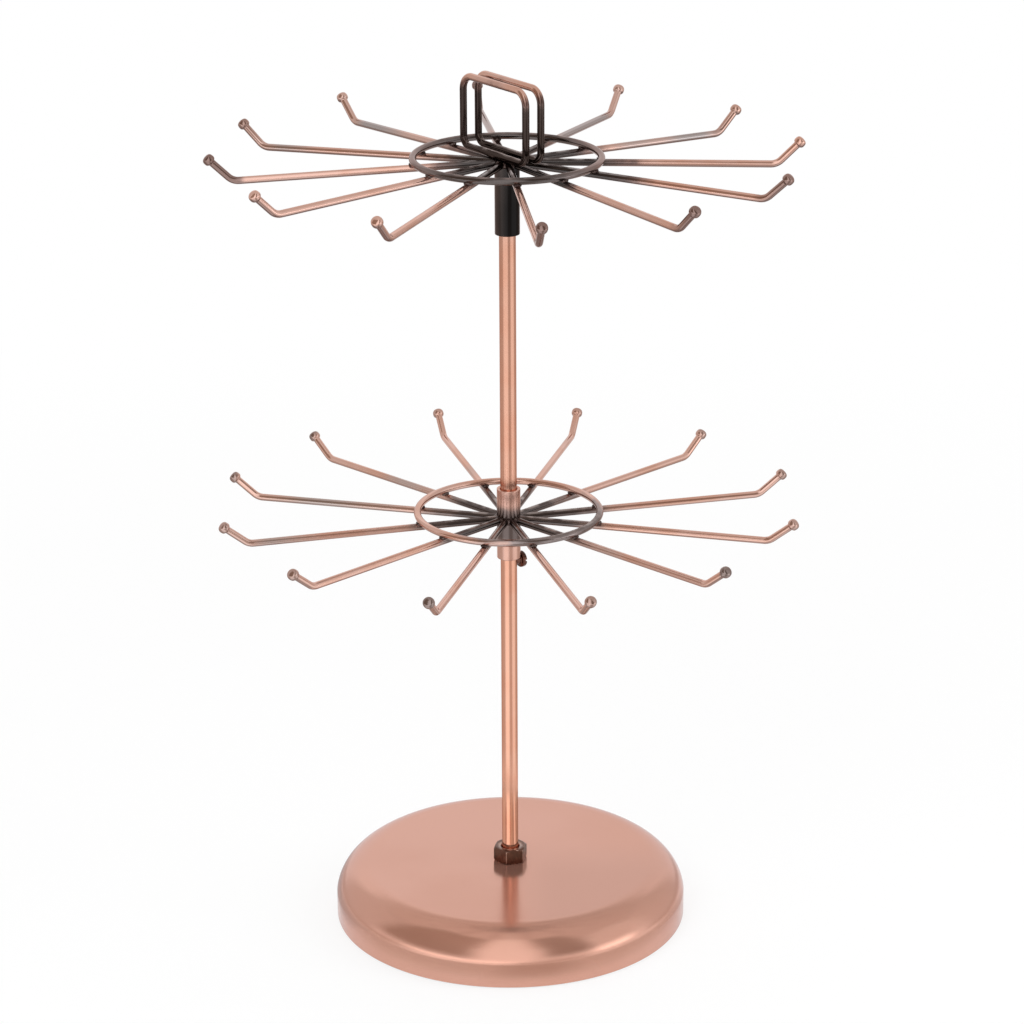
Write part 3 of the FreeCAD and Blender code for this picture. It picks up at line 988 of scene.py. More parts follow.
def grip_mesh(name: str, sizes: dict[str, object]) -> bpy.types.Mesh:
    """Twin upright wire loops with rounded corners.

    Args:
        name: The mesh's name.
        sizes: Values of Grip Width, Grip Height, Grip Foot, Grip Offset, Grip Spacing, Top
            Radius, Foot Radius, Wire Radius and Finish.

    Returns:
        The mesh of both loops.
    """
    tree = WireTree(name + "_tree", sizes)
    given = tree.given
    frame = tree.add("GeometryNodeCurvePrimitiveQuadrilateral",
                     {"Width": given["Grip Width"], "Height": given["Grip Height"]},
                     mode="RECTANGLE").outputs[0]
    place = tree.add("GeometryNodeInputPosition").outputs[0]
    at_top = tree.math("GREATER_THAN", tree.add("ShaderNodeSeparateXYZ", {0: place}).outputs[1],
                       0.0)
    radius = tree.add("ShaderNodeMix", {0: at_top, 2: given["Foot Radius"],
                                        3: given["Top Radius"]}, data_type="FLOAT").outputs[0]
    bent = tree.add("GeometryNodeFilletCurve", {"Curve": frame, "Radius": radius, "Count": 12},
                    mode="POLY").outputs[0]
    half_height = tree.math("MULTIPLY", given["Grip Height"], 0.5)
    middle = tree.math("ADD", given["Grip Foot"], half_height)
    upright = tree.moved(tree.sweep(bent, False), Rotation=(math.pi / 2, 0.0, 0.0),
                         Translation=tree.vector(given["Grip Offset"], 0.0, middle))
    spacing = given["Grip Spacing"]
    pair = tree.add("GeometryNodeMeshLine", {
        "Count": 2, "Offset": tree.vector(0.0, spacing, 0.0),
        "Start Location": tree.vector(0.0, tree.math("MULTIPLY", spacing, -0.5), 0.0)})
    both = tree.add("GeometryNodeInstanceOnPoints",
                    {"Points": pair.outputs[0], "Instance": upright}).outputs[0]
    return tree.bake(name, both)


def weld_mesh(name: str, sizes: dict[str, object]) -> bpy.types.Mesh:
    """Small lumps of weld metal, evenly round the pole.

    Args:
        name: The mesh's name.
        sizes: Values of Lump Count, Lump Circle, Lump Height, Lump Radius, Lump Squash, Lump
            Unevenness, Start Turn, Seed and Finish.

    Returns:
        The mesh of every lump.
    """
    tree = WireTree(name + "_tree", sizes)
    given = tree.given
    ball = tree.add("GeometryNodeMeshIcoSphere",
                    {"Radius": given["Lump Radius"], "Subdivisions": 3}).outputs[0]
    spot = tree.vector(given["Lump Circle"], 0.0, given["Lump Height"])
    squashed = tree.moved(ball, Translation=spot,
                          Scale=tree.vector(1.0, 1.0, given["Lump Squash"]))
    lumps = tree.place_round(squashed, given["Lump Count"], given["Start Turn"])
    real = tree.add("GeometryNodeRealizeInstances", {0: lumps}).outputs[0]
    place = tree.add("GeometryNodeInputPosition").outputs[0]
    ripple = tree.add("ShaderNodeTexNoise", {"Vector": place, "W": given["Seed"], "Scale": 900.0,
                                             "Detail": 2.0}, noise_dimensions="4D").outputs[1]
    centred = tree.vector_math("SUBTRACT", ripple, (0.5, 0.5, 0.5))
    amount = given["Lump Unevenness"]
    offset = tree.vector_math("MULTIPLY", centred, tree.vector(amount, amount, amount))
    uneven = tree.add("GeometryNodeSetPosition", {"Geometry": real, "Offset": offset}).outputs[0]
    return tree.bake(name, uneven)


# ------------------------------------------------------------------ sub-assemblies

def dress(node: str, frame: dict, finish: bpy.types.Material) -> None:
    """Give a CAD node that stays its finish.

    Args:
        node: The node's name.
        finish: The material.
    """
    mesh = frame["nodes"][node].data
    mesh.materials.clear()
    mesh.materials.append(finish)
    log.info("dressed %s in %s", node, finish.name)


def settle(piece: bpy.types.Object, body: str, slot: str, *nodes: str) -> None:
    """Make a piece ride on its body and stand for its CAD nodes.

    Args:
        piece: The piece, in place.
        body: The CAD body that it moves with.
        slot: The record's material slot of its finish; not used.
        nodes: The CAD nodes that it stands for, if it stands for any.
    """
    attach(piece, body)
    if nodes:
        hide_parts(*nodes)
    log.info("%s rides on %s: %d faces", piece.name, body, len(piece.data.polygons))


@dataclass
class Foot:
    """The weighted foot: spun shell, clamp nut, and what shows from below.

    Attributes:
        shoulder_width: Round between wall and flat top, inwards from the wall.
        shoulder_drop: The same round, down from the flat top.
        shell: Thickness of the sheet.
        hole: Radius of the hole for the pole's thread.
        crease: Height of the wall's close rings under the crease, which keep its shading crisp.
        nut_flats: Nut across its flats.
        nut_turn: How far the nut is turned, in degrees.
        nut_slope: Slope of its rounded-off corners, in degrees.
        nut_soft: How soft its edges are.
        nut_face: Where its flat faces end, as a share of half its width.
        bore: Radius of the nut's bore.
        bore_bevel: Chamfer at the bore's two mouths.
    """

    shoulder_width: float = 15.5 * MM
    shoulder_drop: float = 13.3 * MM
    shell: float = 1.0 * MM
    hole: float = 4.2 * MM
    crease: float = 0.5 * MM
    nut_flats: float = 13.0 * MM
    nut_turn: float = 10.5
    nut_slope: float = 30.0
    nut_soft: float = 0.07 * MM
    nut_face: float = 0.93
    bore: float = 4.0 * MM
    bore_bevel: float = 0.5 * MM

    def shell_outline(self) -> Profile:
        """Outline of the shell, up the outside and back down the inside.

        Returns:
            Radius and height of each point.
        """
        low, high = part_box("base_shell")
        wall, top, foot = high.x, high.z, low.z
        width, drop = self.shoulder_width, self.shoulder_drop
        flat = wall - width
        radius = (width ** 2 + drop ** 2) / (2 * drop)
        centre = (flat, top - radius)
        sweep = math.degrees(math.asin(width / radius))
        inner = radius - self.shell
        inner_sweep = math.degrees(math.asin((width - self.shell) / inner))
        edge = self.shell / 2
        crease_steps, flat_steps = 5, 12
        outside = arc((wall - edge, foot + edge), edge, -90.0, 0.0, 6)
        outside += [(wall, top - drop - self.crease * (1 - i / crease_steps) ** 2)
                    for i in range(crease_steps)]
        outside += arc(centre, radius, 90.0 - sweep, 90.0, 40)
        outside += [(flat + (self.hole - flat) * (i + 1) / flat_steps, top)
                    for i in range(flat_steps)]
        inside = [(self.hole, top - self.shell)]
        inside += arc(centre, inner, 90.0, 90.0 - inner_sweep, 16)
        inside += [(wall - self.shell, foot + edge)]
        return outside + inside

    def nut_side(self, turn: float, z: float, height: float) -> float:
        """Radius of the nut's soft-edged outside.

        Args:
            turn: Direction, in radians from a corner.
            z: Height above the nut's lower face.
            height: The nut's thickness.

        Returns:
            The smallest of the flat's and the two rounded faces' radii, blended.
        """
        apothem = self.nut_flats / 2
        slope = math.tan(math.radians(self.nut_slope))
        from_flat = turn % (math.pi / 3) - math.pi / 6
        radii = (apothem / math.cos(from_flat), apothem + (height - z) / slope,
                 apothem + z / slope)
        nearest = min(radii)
        excess = sum(math.exp((nearest - radius) / self.nut_soft) for radius in radii)
        return nearest - self.nut_soft * math.log(excess)

    def nut_rows(self, foot: float, height: float) -> list[list[Vector]]:
        """Rings of points over a hexagon nut with rounded-off corners and a chamfered bore.

        Args:
            foot: Height of the nut's lower face.
            height: The nut's thickness.

        Returns:
            Rows from the bore's foot, out, up the flats and back down the bore.
        """
        around, rising = 240, 36
        start = math.radians(self.nut_turn)
        turns = [start + 2 * math.pi * j / around for j in range(around)]

        def ring(radius_at: Callable[[float], float], z: float) -> list[Vector]:
            """One closed ring of points."""
            return [Vector((radius_at(a) * math.cos(a), radius_at(a) * math.sin(a), foot + z))
                    for a in turns]

        def mouth(face: float, inwards: float) -> list[list[Vector]]:
            """The bore's mouth and the flat face round it, from the bore outwards."""
            return [ring(lambda a: self.bore, face + inwards * self.bore_bevel),
                    ring(lambda a: self.bore + self.bore_bevel, face),
                    ring(lambda a: self.nut_flats / 2 * self.nut_face, face)]

        rows = mouth(0.0, 1.0)
        for i in range(rising + 1):
            z = height * (0.5 - 0.5 * math.cos(math.pi * i / rising))
            rows.append(ring(lambda a, z=z: self.nut_side(a - start, z, height), z))
        return rows + mouth(height, -1.0)[::-1]

    def build(self, frame: dict) -> None:
        """Make the foot's pieces and dress what stays.
        """
        # Where the painted shade on the foot's top comes in: towards the camera's right and the
        # front.
        slopes = (Slope(tuple(towards(90.0)), -6.0 * MM, 22.0 * MM),
                  Slope(tuple(towards(0.0)), -24.0 * MM, 20.0 * MM))
        copper = SpunCopper("spun_copper", slopes=slopes).build()
        mesh = lathe("foot_shell", self.shell_outline(), steps=320)
        finish_mesh(mesh, crease_degrees=50.0)
        settle(new_piece("foot_shell", mesh, copper), "stand", "copper_foot", "base_shell")

        bronze = PlainFinish("dark_bronze", (0.125, 0.068, 0.051), (0.180, 0.088, 0.064),
                             metallic=1.0, rough=0.26, cloud_scale=260.0, grain_scale=3000.0,
                             grain=0.010 * MM, edge_wear_and_glint=(0.74, 0.52, 0.44)).build()
        low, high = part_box("base_nut")
        mesh = grid_mesh("clamp_nut", self.nut_rows(low.z, high.z - low.z), loop_rows=True)
        finish_mesh(mesh, crease_degrees=60.0)
        settle(new_piece("clamp_nut", mesh, bronze), "stand", "bronze_nut", "base_nut")
        self.dress_hidden(frame)

    def dress_hidden(self, frame: dict) -> None:
        """Dress what is inside the foot and under it.
        """
        iron = PlainFinish("cast_iron", (0.060, 0.060, 0.064), (0.095, 0.085, 0.080),
                           metallic=0.8, rough=0.62, cloud_scale=140.0, grain_scale=1200.0,
                           grain=0.12 * MM).build()
        zinc = PlainFinish("zinc_plate", (0.42, 0.43, 0.45), (0.50, 0.49, 0.46), metallic=1.0,
                           rough=0.34).build()
        rubber = PlainFinish("pad_rubber", (0.020, 0.020, 0.021), (0.032, 0.031, 0.030),
                             metallic=0.0, rough=0.72, cloud_scale=60.0, grain_scale=1600.0,
                             grain=0.08 * MM).build()
        dress("base_weight", frame, iron)
        dress("base_pad", frame, rubber)
        for node in ("under_nut", "under_washer", "pivot_ball"):
            dress(node, frame, zinc)


@dataclass
class Pole:
    """The pole and the support screw just under the lower hub.

    Attributes:
        radius: The pole's radius.
        bevel: Bevel at its two ends.
        screw_shank: Radius of the support screw's shank.
        screw_head: Radius of its head.
        head_height: Height of its head.
        screw_round: How far its corners are rounded.
        slot_width: Width of the driver slot.
        slot_depth: Depth of the driver slot.
    """

    radius: float = 3.5 * MM
    bevel: float = 0.5 * MM
    screw_shank: float = 2.0 * MM
    screw_head: float = 3.5 * MM
    head_height: float = 2.0 * MM
    screw_round: float = 0.5 * MM
    slot_width: float = 1.0 * MM
    slot_depth: float = 0.9 * MM

    def build(self) -> None:
        """Make the pole and the screw."""
        low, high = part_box("pole")
        copper = AgedCopper("drawn_copper", copper=(0.80, 0.437, 0.317),
                            blush=(0.78, 0.393, 0.273), thin=(0.77, 0.455, 0.36), gloss=0.15,
                            edge=(0.60, 0.50, 0.48)).build()
        foot, top = low.z + self.bevel, high.z - self.bevel
        end, steps = self.radius - self.bevel, 60
        wall = [(self.radius, foot + (top - foot) * i / steps) for i in range(steps + 1)]
        mesh = lathe("pole_rod", [(end, low.z), *wall, (end, high.z)], steps=96, loop=False)
        finish_mesh(mesh, crease_degrees=35.0)
        settle(new_piece("pole_rod", mesh, copper), "stand", "copper_pole", "pole")
        self.build_screw()

    def build_screw(self) -> None:
        """Make the support screw: a round head with a driver slot, its axis along +Y."""
        low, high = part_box("support_screw")
        axis_height = (low.z + high.z) / 2
        top, seat = high.y, high.y - self.head_height
        point = 0.0001 * MM  # radius of its two ends' middles, which a cap closes
        outline = rounded([(point, low.y), (self.screw_shank, low.y), (self.screw_shank, seat),
                           (self.screw_head, seat), (self.screw_head, top), (point, top)],
                          self.screw_round, steps=5)
        mesh = lathe("screw_turned", outline, steps=72, loop=False)
        lie_down = Matrix.Rotation(-math.pi / 2, 4, "X")
        mesh.transform(Matrix.Translation((0.0, 0.0, axis_height)) @ lie_down)
        steel = PlainFinish("dark_screw", (0.150, 0.070, 0.052), (0.090, 0.045, 0.036),
                            metallic=1.0, rough=0.24, cloud_scale=300.0,
                            grain=0.006 * MM).build()
        slotted = self.cut_slot(new_piece("screw_turned", mesh, steel), top, axis_height, steel)
        finish_mesh(slotted, crease_degrees=35.0)
        settle(new_piece("carrier_screw", slotted, steel), "stand", "black_steel",
               "support_screw")

    def cut_slot(self, screw: bpy.types.Object, top: float, height: float,
                 steel: bpy.types.Material) -> bpy.types.Mesh:
        """Cut the driver slot across the screw's head.

        Args:
            screw: The turned screw, which is used up.
            top: Where along +Y its head ends.
            height: Height of its axis.
            steel: Its finish.

        Returns:
            The slotted screw's mesh.
        """
        reach, half = self.screw_head * 2, self.slot_width / 2
        corners = [[Vector((x, top + y, height + z))
                    for x, y in ((-reach, -self.slot_depth), (reach, -self.slot_depth),
                                 (reach, self.slot_depth), (-reach, self.slot_depth))]
                   for z in (-half, half)]
        cutter = new_piece("slot_cutter", grid_mesh("slot_cutter", corners, False), steel)
        boolean = screw.modifiers.new("slot", "BOOLEAN")
        boolean.object = cutter
        boolean.operation = "DIFFERENCE"
        graph = bpy.context.evaluated_depsgraph_get()
        slotted = bpy.data.meshes.new_from_object(screw.evaluated_get(graph))
        bpy.data.objects.remove(screw)
        bpy.data.objects.remove(cutter)
        slotted.name = "carrier_screw"
        return slotted


class Tier(Enum):
    """The two spinning tiers, by the first word of their nodes' names."""

    LOWER = "lower"
    UPPER = "upper"


@dataclass
class HookTier:
    """One tier: its tube, its hooked arms, its ring and the welds that join them.

    Attributes:
        tier: Which tier it is.
        arm_height: Height of the arms' wires at their roots.
        droop: Fall of the arms, in degrees.
        tip_angle: Rise of the tips, in degrees.
        start_turn: Direction of the first arm, in degrees.
        tube: Radius of the hub tube or sleeve, outside.
        tube_finish: Finish of that tube.
        tube_slot: The record's slot of that tube.
        arm_finish: Finish of the arms.
        ring_finish: Finish of the ring.
        ring_slot: The record's slot of the ring.
        hooks: How many arms there are.
        wire: Radius of the wire.
        reach: Pole's axis to the corner of a bend.
        bend: Radius of the bend.
        tip_length: Corner of the bend to the bead's middle.
        bead: Radius of the bead.
        ring: Radius of the ring, to the middle of its wire.
        bore: Radius of the tube's bore.
        tube_round: How far the tube's corners are rounded.
        sunk: How far the arms run on inwards past their roots, under the weld.
        lump: Radius of a lump of weld.
    """

    tier: Tier
    arm_height: float
    droop: float
    tip_angle: float
    start_turn: float
    tube: float
    tube_finish: bpy.types.Material
    tube_slot: str
    arm_finish: AgedCopper
    ring_finish: AgedCopper
    ring_slot: str
    hooks: int = 12
    wire: float = 1.5 * MM
    reach: float = 111.4 * MM
    bend: float = 6.0 * MM
    tip_length: float = 13.0 * MM
    bead: float = 2.4 * MM
    ring: float = 38.5 * MM
    bore: float = 3.65 * MM
    tube_round: float = 0.35 * MM
    sunk: float = 1.2 * MM
    lump: float = 1.75 * MM

    @property
    def word(self) -> str:
        """The first word of the tier's node names."""
        return self.tier.value

    @property
    def body(self) -> str:
        """The CAD body that the tier rides on."""
        return f"{self.word}_tier"

    @property
    def tube_node(self) -> str:
        """The CAD node of the tier's tube."""
        return "lower_hub" if self.tier is Tier.LOWER else "upper_sleeve"

    def build_tube(self) -> None:
        """Make the hub tube or sleeve."""
        low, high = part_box(self.tube_node)
        corners = [(self.tube, low.z), (self.tube, high.z), (self.bore, high.z),
                   (self.bore, low.z)]
        mesh = lathe(f"{self.word}_tube", rounded(corners, self.tube_round), steps=96)
        finish_mesh(mesh, crease_degrees=50.0)
        piece = new_piece(f"{self.word}_tube", mesh, self.tube_finish)
        settle(piece, self.body, self.tube_slot, self.tube_node)

    def build_arms(self) -> None:
        """Make the twelve hooked arms."""
        copper = self.arm_finish.build()
        root = self.tube + self.wire / 2
        fall = math.tan(math.radians(self.droop))
        rise = math.radians(self.tip_angle)
        corner_height = self.arm_height - (self.reach - root) * fall
        mesh = hook_ring_mesh(f"{self.word}_arms", {
            "Arm Count": self.hooks, "Root Radius": root - self.sunk,
            "Root Height": self.arm_height + self.sunk * fall, "Reach": self.reach,
            "Corner Height": corner_height,
            "Tip Across": self.reach + self.tip_length * math.cos(rise),
            "Tip Up": corner_height + self.tip_length * math.sin(rise),
            "Bend Radius": self.bend, "Wire Radius": self.wire, "Bead Radius": self.bead,
            "Start Turn": math.radians(self.start_turn), "Finish": copper})
        nodes = [f"{self.word}_hook_{i + 1:02d}" for i in range(self.hooks)]
        settle(new_piece(f"{self.word}_arms", mesh, copper), self.body, "copper_wire", *nodes)

    def build_ring(self) -> float:
        """Make the ring on top of the arms.

        Returns:
            Height of the ring's wire.
        """
        copper = self.ring_finish.build()
        low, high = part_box(f"{self.word}_ring")
        height = (low.z + high.z) / 2
        mesh = ring_mesh(f"{self.word}_hoop", {
            "Ring Radius": self.ring, "Ring Height": height, "Wire Radius": self.wire,
            "Finish": copper})
        settle(new_piece(f"{self.word}_hoop", mesh, copper), self.body, self.ring_slot,
               f"{self.word}_ring")
        return height

    def build_welds(self, scale: bpy.types.Material, ring_height: float) -> None:
        """Make the lumps of weld where arms meet the ring and the tube.

        Args:
            scale: Their finish.
            ring_height: Height of the ring's wire.
        """
        turn = math.radians(self.start_turn)
        shared = {"Lump Count": self.hooks, "Lump Radius": self.lump, "Finish": scale}
        on_ring = {"Lump Circle": self.ring, "Lump Height": ring_height - self.wire,
                   "Lump Squash": 0.62, "Lump Unevenness": 0.7 * MM, "Start Turn": turn,
                   "Seed": 3}
        on_tube = {"Lump Circle": self.tube + 0.2 * MM, "Lump Height": self.arm_height,
                   "Lump Squash": 0.85, "Lump Unevenness": 0.9 * MM,
                   "Start Turn": turn + math.pi / self.hooks, "Seed": 11}
        for where, sizes, slot in (("ring", on_ring, self.ring_slot),
                                   ("root", on_tube, self.tube_slot)):
            name = f"{self.word}_{where}_welds"
            mesh = weld_mesh(name, {**shared, **sizes})
            settle(new_piece(name, mesh, scale), self.body, slot)

    def build(self) -> None:
        """Make every piece of the tier."""
        scale = PlainFinish(f"{self.word}_weld_scale", (0.050, 0.032, 0.030),
                            (0.15, 0.115, 0.105), metallic=0.95, rough=0.26, cloud_scale=420.0,
                            grain_scale=1500.0).build()
        self.build_tube()
        self.build_arms()
        ring_height = self.build_ring()
        self.build_welds(scale, ring_height)


def lower_tier() -> HookTier:
    """The lower tier, its hub dark round the weld and clean at its ends.

    Returns:
        The tier, with its hub's material made.
    """
    height = 182.6 * MM
    hub = AgedCopper("hub_copper", copper=(0.73, 0.45, 0.37), blush=(0.66, 0.37, 0.29),
                     thin=(0.62, 0.42, 0.36), brown=(0.30, 0.22, 0.20),
                     black=(0.155, 0.122, 0.115), gloss=0.22, dull=0.20,
                     patina=Patina(Fade.WELD, 4.5 * MM, 10.0 * MM, weld=height - 2.5 * MM,
                                   mottle=0.3))
    arms = AgedCopper("lower_arm_copper", brown=(0.34, 0.26, 0.24), black=(0.12, 0.10, 0.096),
                      painted_glint=0.75, patina=Patina(Fade.RADIUS, 22.0 * MM, 48.0 * MM,
                                              drift=14.0 * MM, tips_at=118.5 * MM))
    ring = AgedCopper("lower_ring_copper", brown=(0.34, 0.28, 0.27), black=(0.14, 0.12, 0.115),
                      patina=Patina(Fade.RADIUS, 30.0 * MM, 38.0 * MM,
                                    lean=tuple(towards(38.0)), lean_share=0.95))
    return HookTier(Tier.LOWER, arm_height=height, droop=0.1, tip_angle=38.0, start_turn=9.0,
                    tube=5.0 * MM, tube_finish=hub.build(), tube_slot="copper_pole",
                    arm_finish=arms, ring_finish=ring, ring_slot="copper_wire")


def sleeve_black() -> AgedCopper:
    """Finish of the upper sleeve and its plug: black, with a painted highlight that turns the side
    towards the camera's left brown.
    """
    return AgedCopper("black_sleeve", copper=(0.115, 0.085, 0.078), blush=(0.125, 0.082, 0.070),
                      thin=(0.110, 0.090, 0.085), brown=(0.050, 0.041, 0.038),
                      black=(0.017, 0.0155, 0.0155), gloss=0.20, dull=0.16, painted_glint=0.25,
                      # This lean paints a highlight: the sleeve turns brown towards the camera's
                      # left.
                      patina=Patina(Fade.LEAN, -1.0 * MM, 6.5 * MM,
                                    lean=tuple(towards(-90.0)), mottle=0.15))


def upper_tier(sleeve: bpy.types.Material) -> HookTier:
    """The upper tier, its plate thin at the back and its ring dark on both sides.

    Args:
        sleeve: Finish of its sleeve.

    Returns:
        The tier.
    """
    across = tuple(towards(90.0))
    arms = AgedCopper("upper_arm_copper", thin=(0.42, 0.395, 0.395),
                      thin_side=tuple(towards(180.0) * 6.5), thin_start=0.21, painted_glint=0.8, under=1.0,
                      patina=Patina(Fade.RADIUS, 31.0 * MM, 58.0 * MM, drift=14.0 * MM,
                                    lean=across, lean_share=0.35, tips_at=106.0 * MM,
                                    tip_share=0.5, tip_range=(0.9, -0.3)))
    ring = AgedCopper("upper_ring_copper", copper=(0.33, 0.245, 0.227),
                      blush=(0.28, 0.205, 0.187), thin=(0.31, 0.25, 0.238),
                      brown=(0.21, 0.170, 0.163), black=(0.122, 0.104, 0.100), painted_glint=1.0,
                      patina=Patina(Fade.SIDES, 16.0 * MM, 42.0 * MM, lean=across,
                                    lean_share=-0.1))
    return HookTier(Tier.UPPER, arm_height=336.6 * MM, droop=2.3, tip_angle=43.5,
                    start_turn=0.0, tube=5.2 * MM, tube_finish=sleeve, tube_slot="black_steel",
                    arm_finish=arms, ring_finish=ring, ring_slot="dark_copper")


@dataclass
class GripLoops:
    """The twin wire loops on top, and the plug that closes the sleeve under them.

    Attributes:
        width: Loop, from leg to leg.
        height: Loop, from lower rail to top bar.
        spacing: One loop to the other.
        top_radius: Upper corners.
        foot_radius: Lower corners.
        wire: Radius of the wire.
        dark_up_to: Share of the height below which the loops are darkest.
        clean_from: Share of the height above which they would be clean.
    """

    width: float = 43.0 * MM
    height: float = 29.4 * MM
    spacing: float = 7.5 * MM
    top_radius: float = 6.0 * MM
    foot_radius: float = 4.0 * MM
    wire: float = 1.5 * MM
    dark_up_to: float = 0.72
    clean_from: float = 1.04

    def build(self, frame: dict, plug_finish: bpy.types.Material) -> None:
        """Make the loops and dress the plug.

        Args:
            plug_finish: Finish of the sleeve and its plug.
        """
        low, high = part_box("grip_loop_front")
        foot = high.z - self.wire - self.height
        patina = Patina(Fade.HEIGHT, foot + self.height * self.dark_up_to,
                        foot + self.height * self.clean_from, mottle=0.6)
        copper = AgedCopper("grip_copper", copper=(0.73, 0.465, 0.385), brown=(0.22, 0.13, 0.11),
                            black=(0.060, 0.044, 0.039), patina=patina, under=0.95).build()
        mesh = grip_mesh("grip_pair", {
            "Grip Width": self.width, "Grip Height": self.height, "Grip Foot": foot,
            "Grip Offset": (low.x + high.x) / 2, "Grip Spacing": self.spacing,
            "Top Radius": self.top_radius, "Foot Radius": self.foot_radius,
            "Wire Radius": self.wire, "Finish": copper})
        settle(new_piece("grip_pair", mesh, copper), "upper_tier", "dark_copper",
               "grip_loop_front", "grip_loop_rear")
        dress("sleeve_plug", frame, plug_finish)


# ------------------------------------------------------------------ studio

@dataclass(frozen=True)
class Softbox:
    """One studio lamp with a soft face, aimed at the stand's middle.

    Attributes:
        name: The lamp's name.
        turn: Its direction round the stand, in degrees from the camera, positive to the right.
        rise: Its height above the horizon, in degrees.
        distance: From the stand's middle.
        size: Width and height of its face.
        watts: Its power.
    """

    name: str
    turn: float
    rise: float
    distance: float
    size: tuple[float, float]
    watts: float

    def build(self, middle: float) -> None:
        """Make the lamp.

        Args:
            middle: Height of the stand's middle.
        """
        data = bpy.data.lights.new(self.name, "AREA")
        data.shape = "RECTANGLE"
        data.size, data.size_y = self.size
        data.energy = self.watts
        lamp = bpy.data.objects.new(self.name, data)
        bpy.context.scene.collection.objects.link(lamp)
        away = towards(self.turn, self.rise)
        lamp.location = away * self.distance + Vector((0.0, 0.0, middle))
        lamp.rotation_mode = "QUATERNION"
        lamp.rotation_quaternion = (-away).to_track_quat("-Z", "Y")
        lamp.visible_camera = False
        lamp.visible_glossy = False


# How much red, green and blue the brownest board lacks.
BROWN_LOSS = (0.0, 0.22, 0.36)


@dataclass(frozen=True)
class Board:
    """A curved studio board with soft edges, which only polished metal sees.

    Attributes:
        name: The board's name.
        turns: Its two edges, in degrees from the camera, positive to the right.
        near: Distance from the pole and height of one rim.
        far: Distance from the pole and height of the other rim.
        shades: How bright it looks at its near and its far rim, where 1 is white.
        soft: Degrees over which its two edges fade.
        soft_rims: Shares of its length over which its near and its far rim fade.
        warm: How brown it is, from 0 to 1.
        one_sided: Whether it is clear from behind.
    """

    name: str
    turns: tuple[float, float]
    near: tuple[float, float]
    far: tuple[float, float]
    shades: tuple[float, float]
    soft: float
    soft_rims: tuple[float, float]
    warm: float = 0.0
    one_sided: bool = False

    def veil(self, across: float, along: float) -> float:
        """How solid the board is at one of its points.

        Args:
            across: 0 at its first edge and 1 at its last.
            along: 0 at its near rim and 1 at its far rim.

        Returns:
            0 where it has faded away and 1 where it is solid.
        """
        edge = min(across, 1.0 - across) * (self.turns[1] - self.turns[0]) / self.soft
        rims = (along / self.soft_rims[0], (1.0 - along) / self.soft_rims[1])
        shares = [min(1.0, max(0.0, share)) for share in (edge, *rims)]
        return math.prod(share * share * (3.0 - 2.0 * share) for share in shares)

    def mesh(self) -> bpy.types.Mesh:
        """The board's surface, with its veil and its shade at each point.

        Returns:
            The mesh.
        """
        def between(ends: tuple[float, float], share: float) -> float:
            """The value at a share of the way from the first to the second."""
            return ends[0] + (ends[1] - ends[0]) * share

        steps = 40
        row = steps + 1
        points, veils, shades = [], [], []
        for across, along in ((i / steps, j / steps) for i in range(row) for j in range(row)):
            away = between((self.near[0], self.far[0]), along)
            point = towards(between(self.turns, across)) * away
            point.z = between((self.near[1], self.far[1]), along)
            points.append(point)
            veils.append(self.veil(across, along))
            shades.append(between(self.shades, along))
        faces = [(i * row + j, i * row + row + j, i * row + row + j + 1, i * row + j + 1)
                 for i in range(steps) for j in range(steps)]
        mesh = bpy.data.meshes.new(self.name)
        mesh.from_pydata(points, [], faces)
        for label, values in (("veil", veils), ("shade", shades)):
            mesh.attributes.new(label, "FLOAT", "POINT").data.foreach_set("value", values)
        return mesh

    def glow(self) -> bpy.types.Material:
        """The board's own light, which fades to clear with its veil.

        Returns:
            The material.
        """
        nodes = Surface(self.name)
        brown = tuple(1.0 - loss * self.warm for loss in BROWN_LOSS)
        veil, shade = (nodes.add("ShaderNodeAttribute", attribute_name=label).outputs["Fac"]
                       for label in ("veil", "shade"))
        light = nodes.add("ShaderNodeEmission", {"Color": opaque(brown), "Strength": shade})
        clear = nodes.add("ShaderNodeBsdfTransparent")
        if self.one_sided:
            behind = nodes.add("ShaderNodeNewGeometry").outputs["Backfacing"]
            veil = nodes.math("MULTIPLY", veil, nodes.math("SUBTRACT", 1.0, behind))
        nodes.end_in(veil, clear, light)
        return nodes.material

    def build(self) -> None:
        """Make the board and hide it from all but mirroring rays."""
        sheet = new_piece(self.name, self.mesh(), self.glow())
        sheet.visible_camera = False
        sheet.visible_diffuse = False
        sheet.visible_shadow = False
        sheet.visible_transmission = False


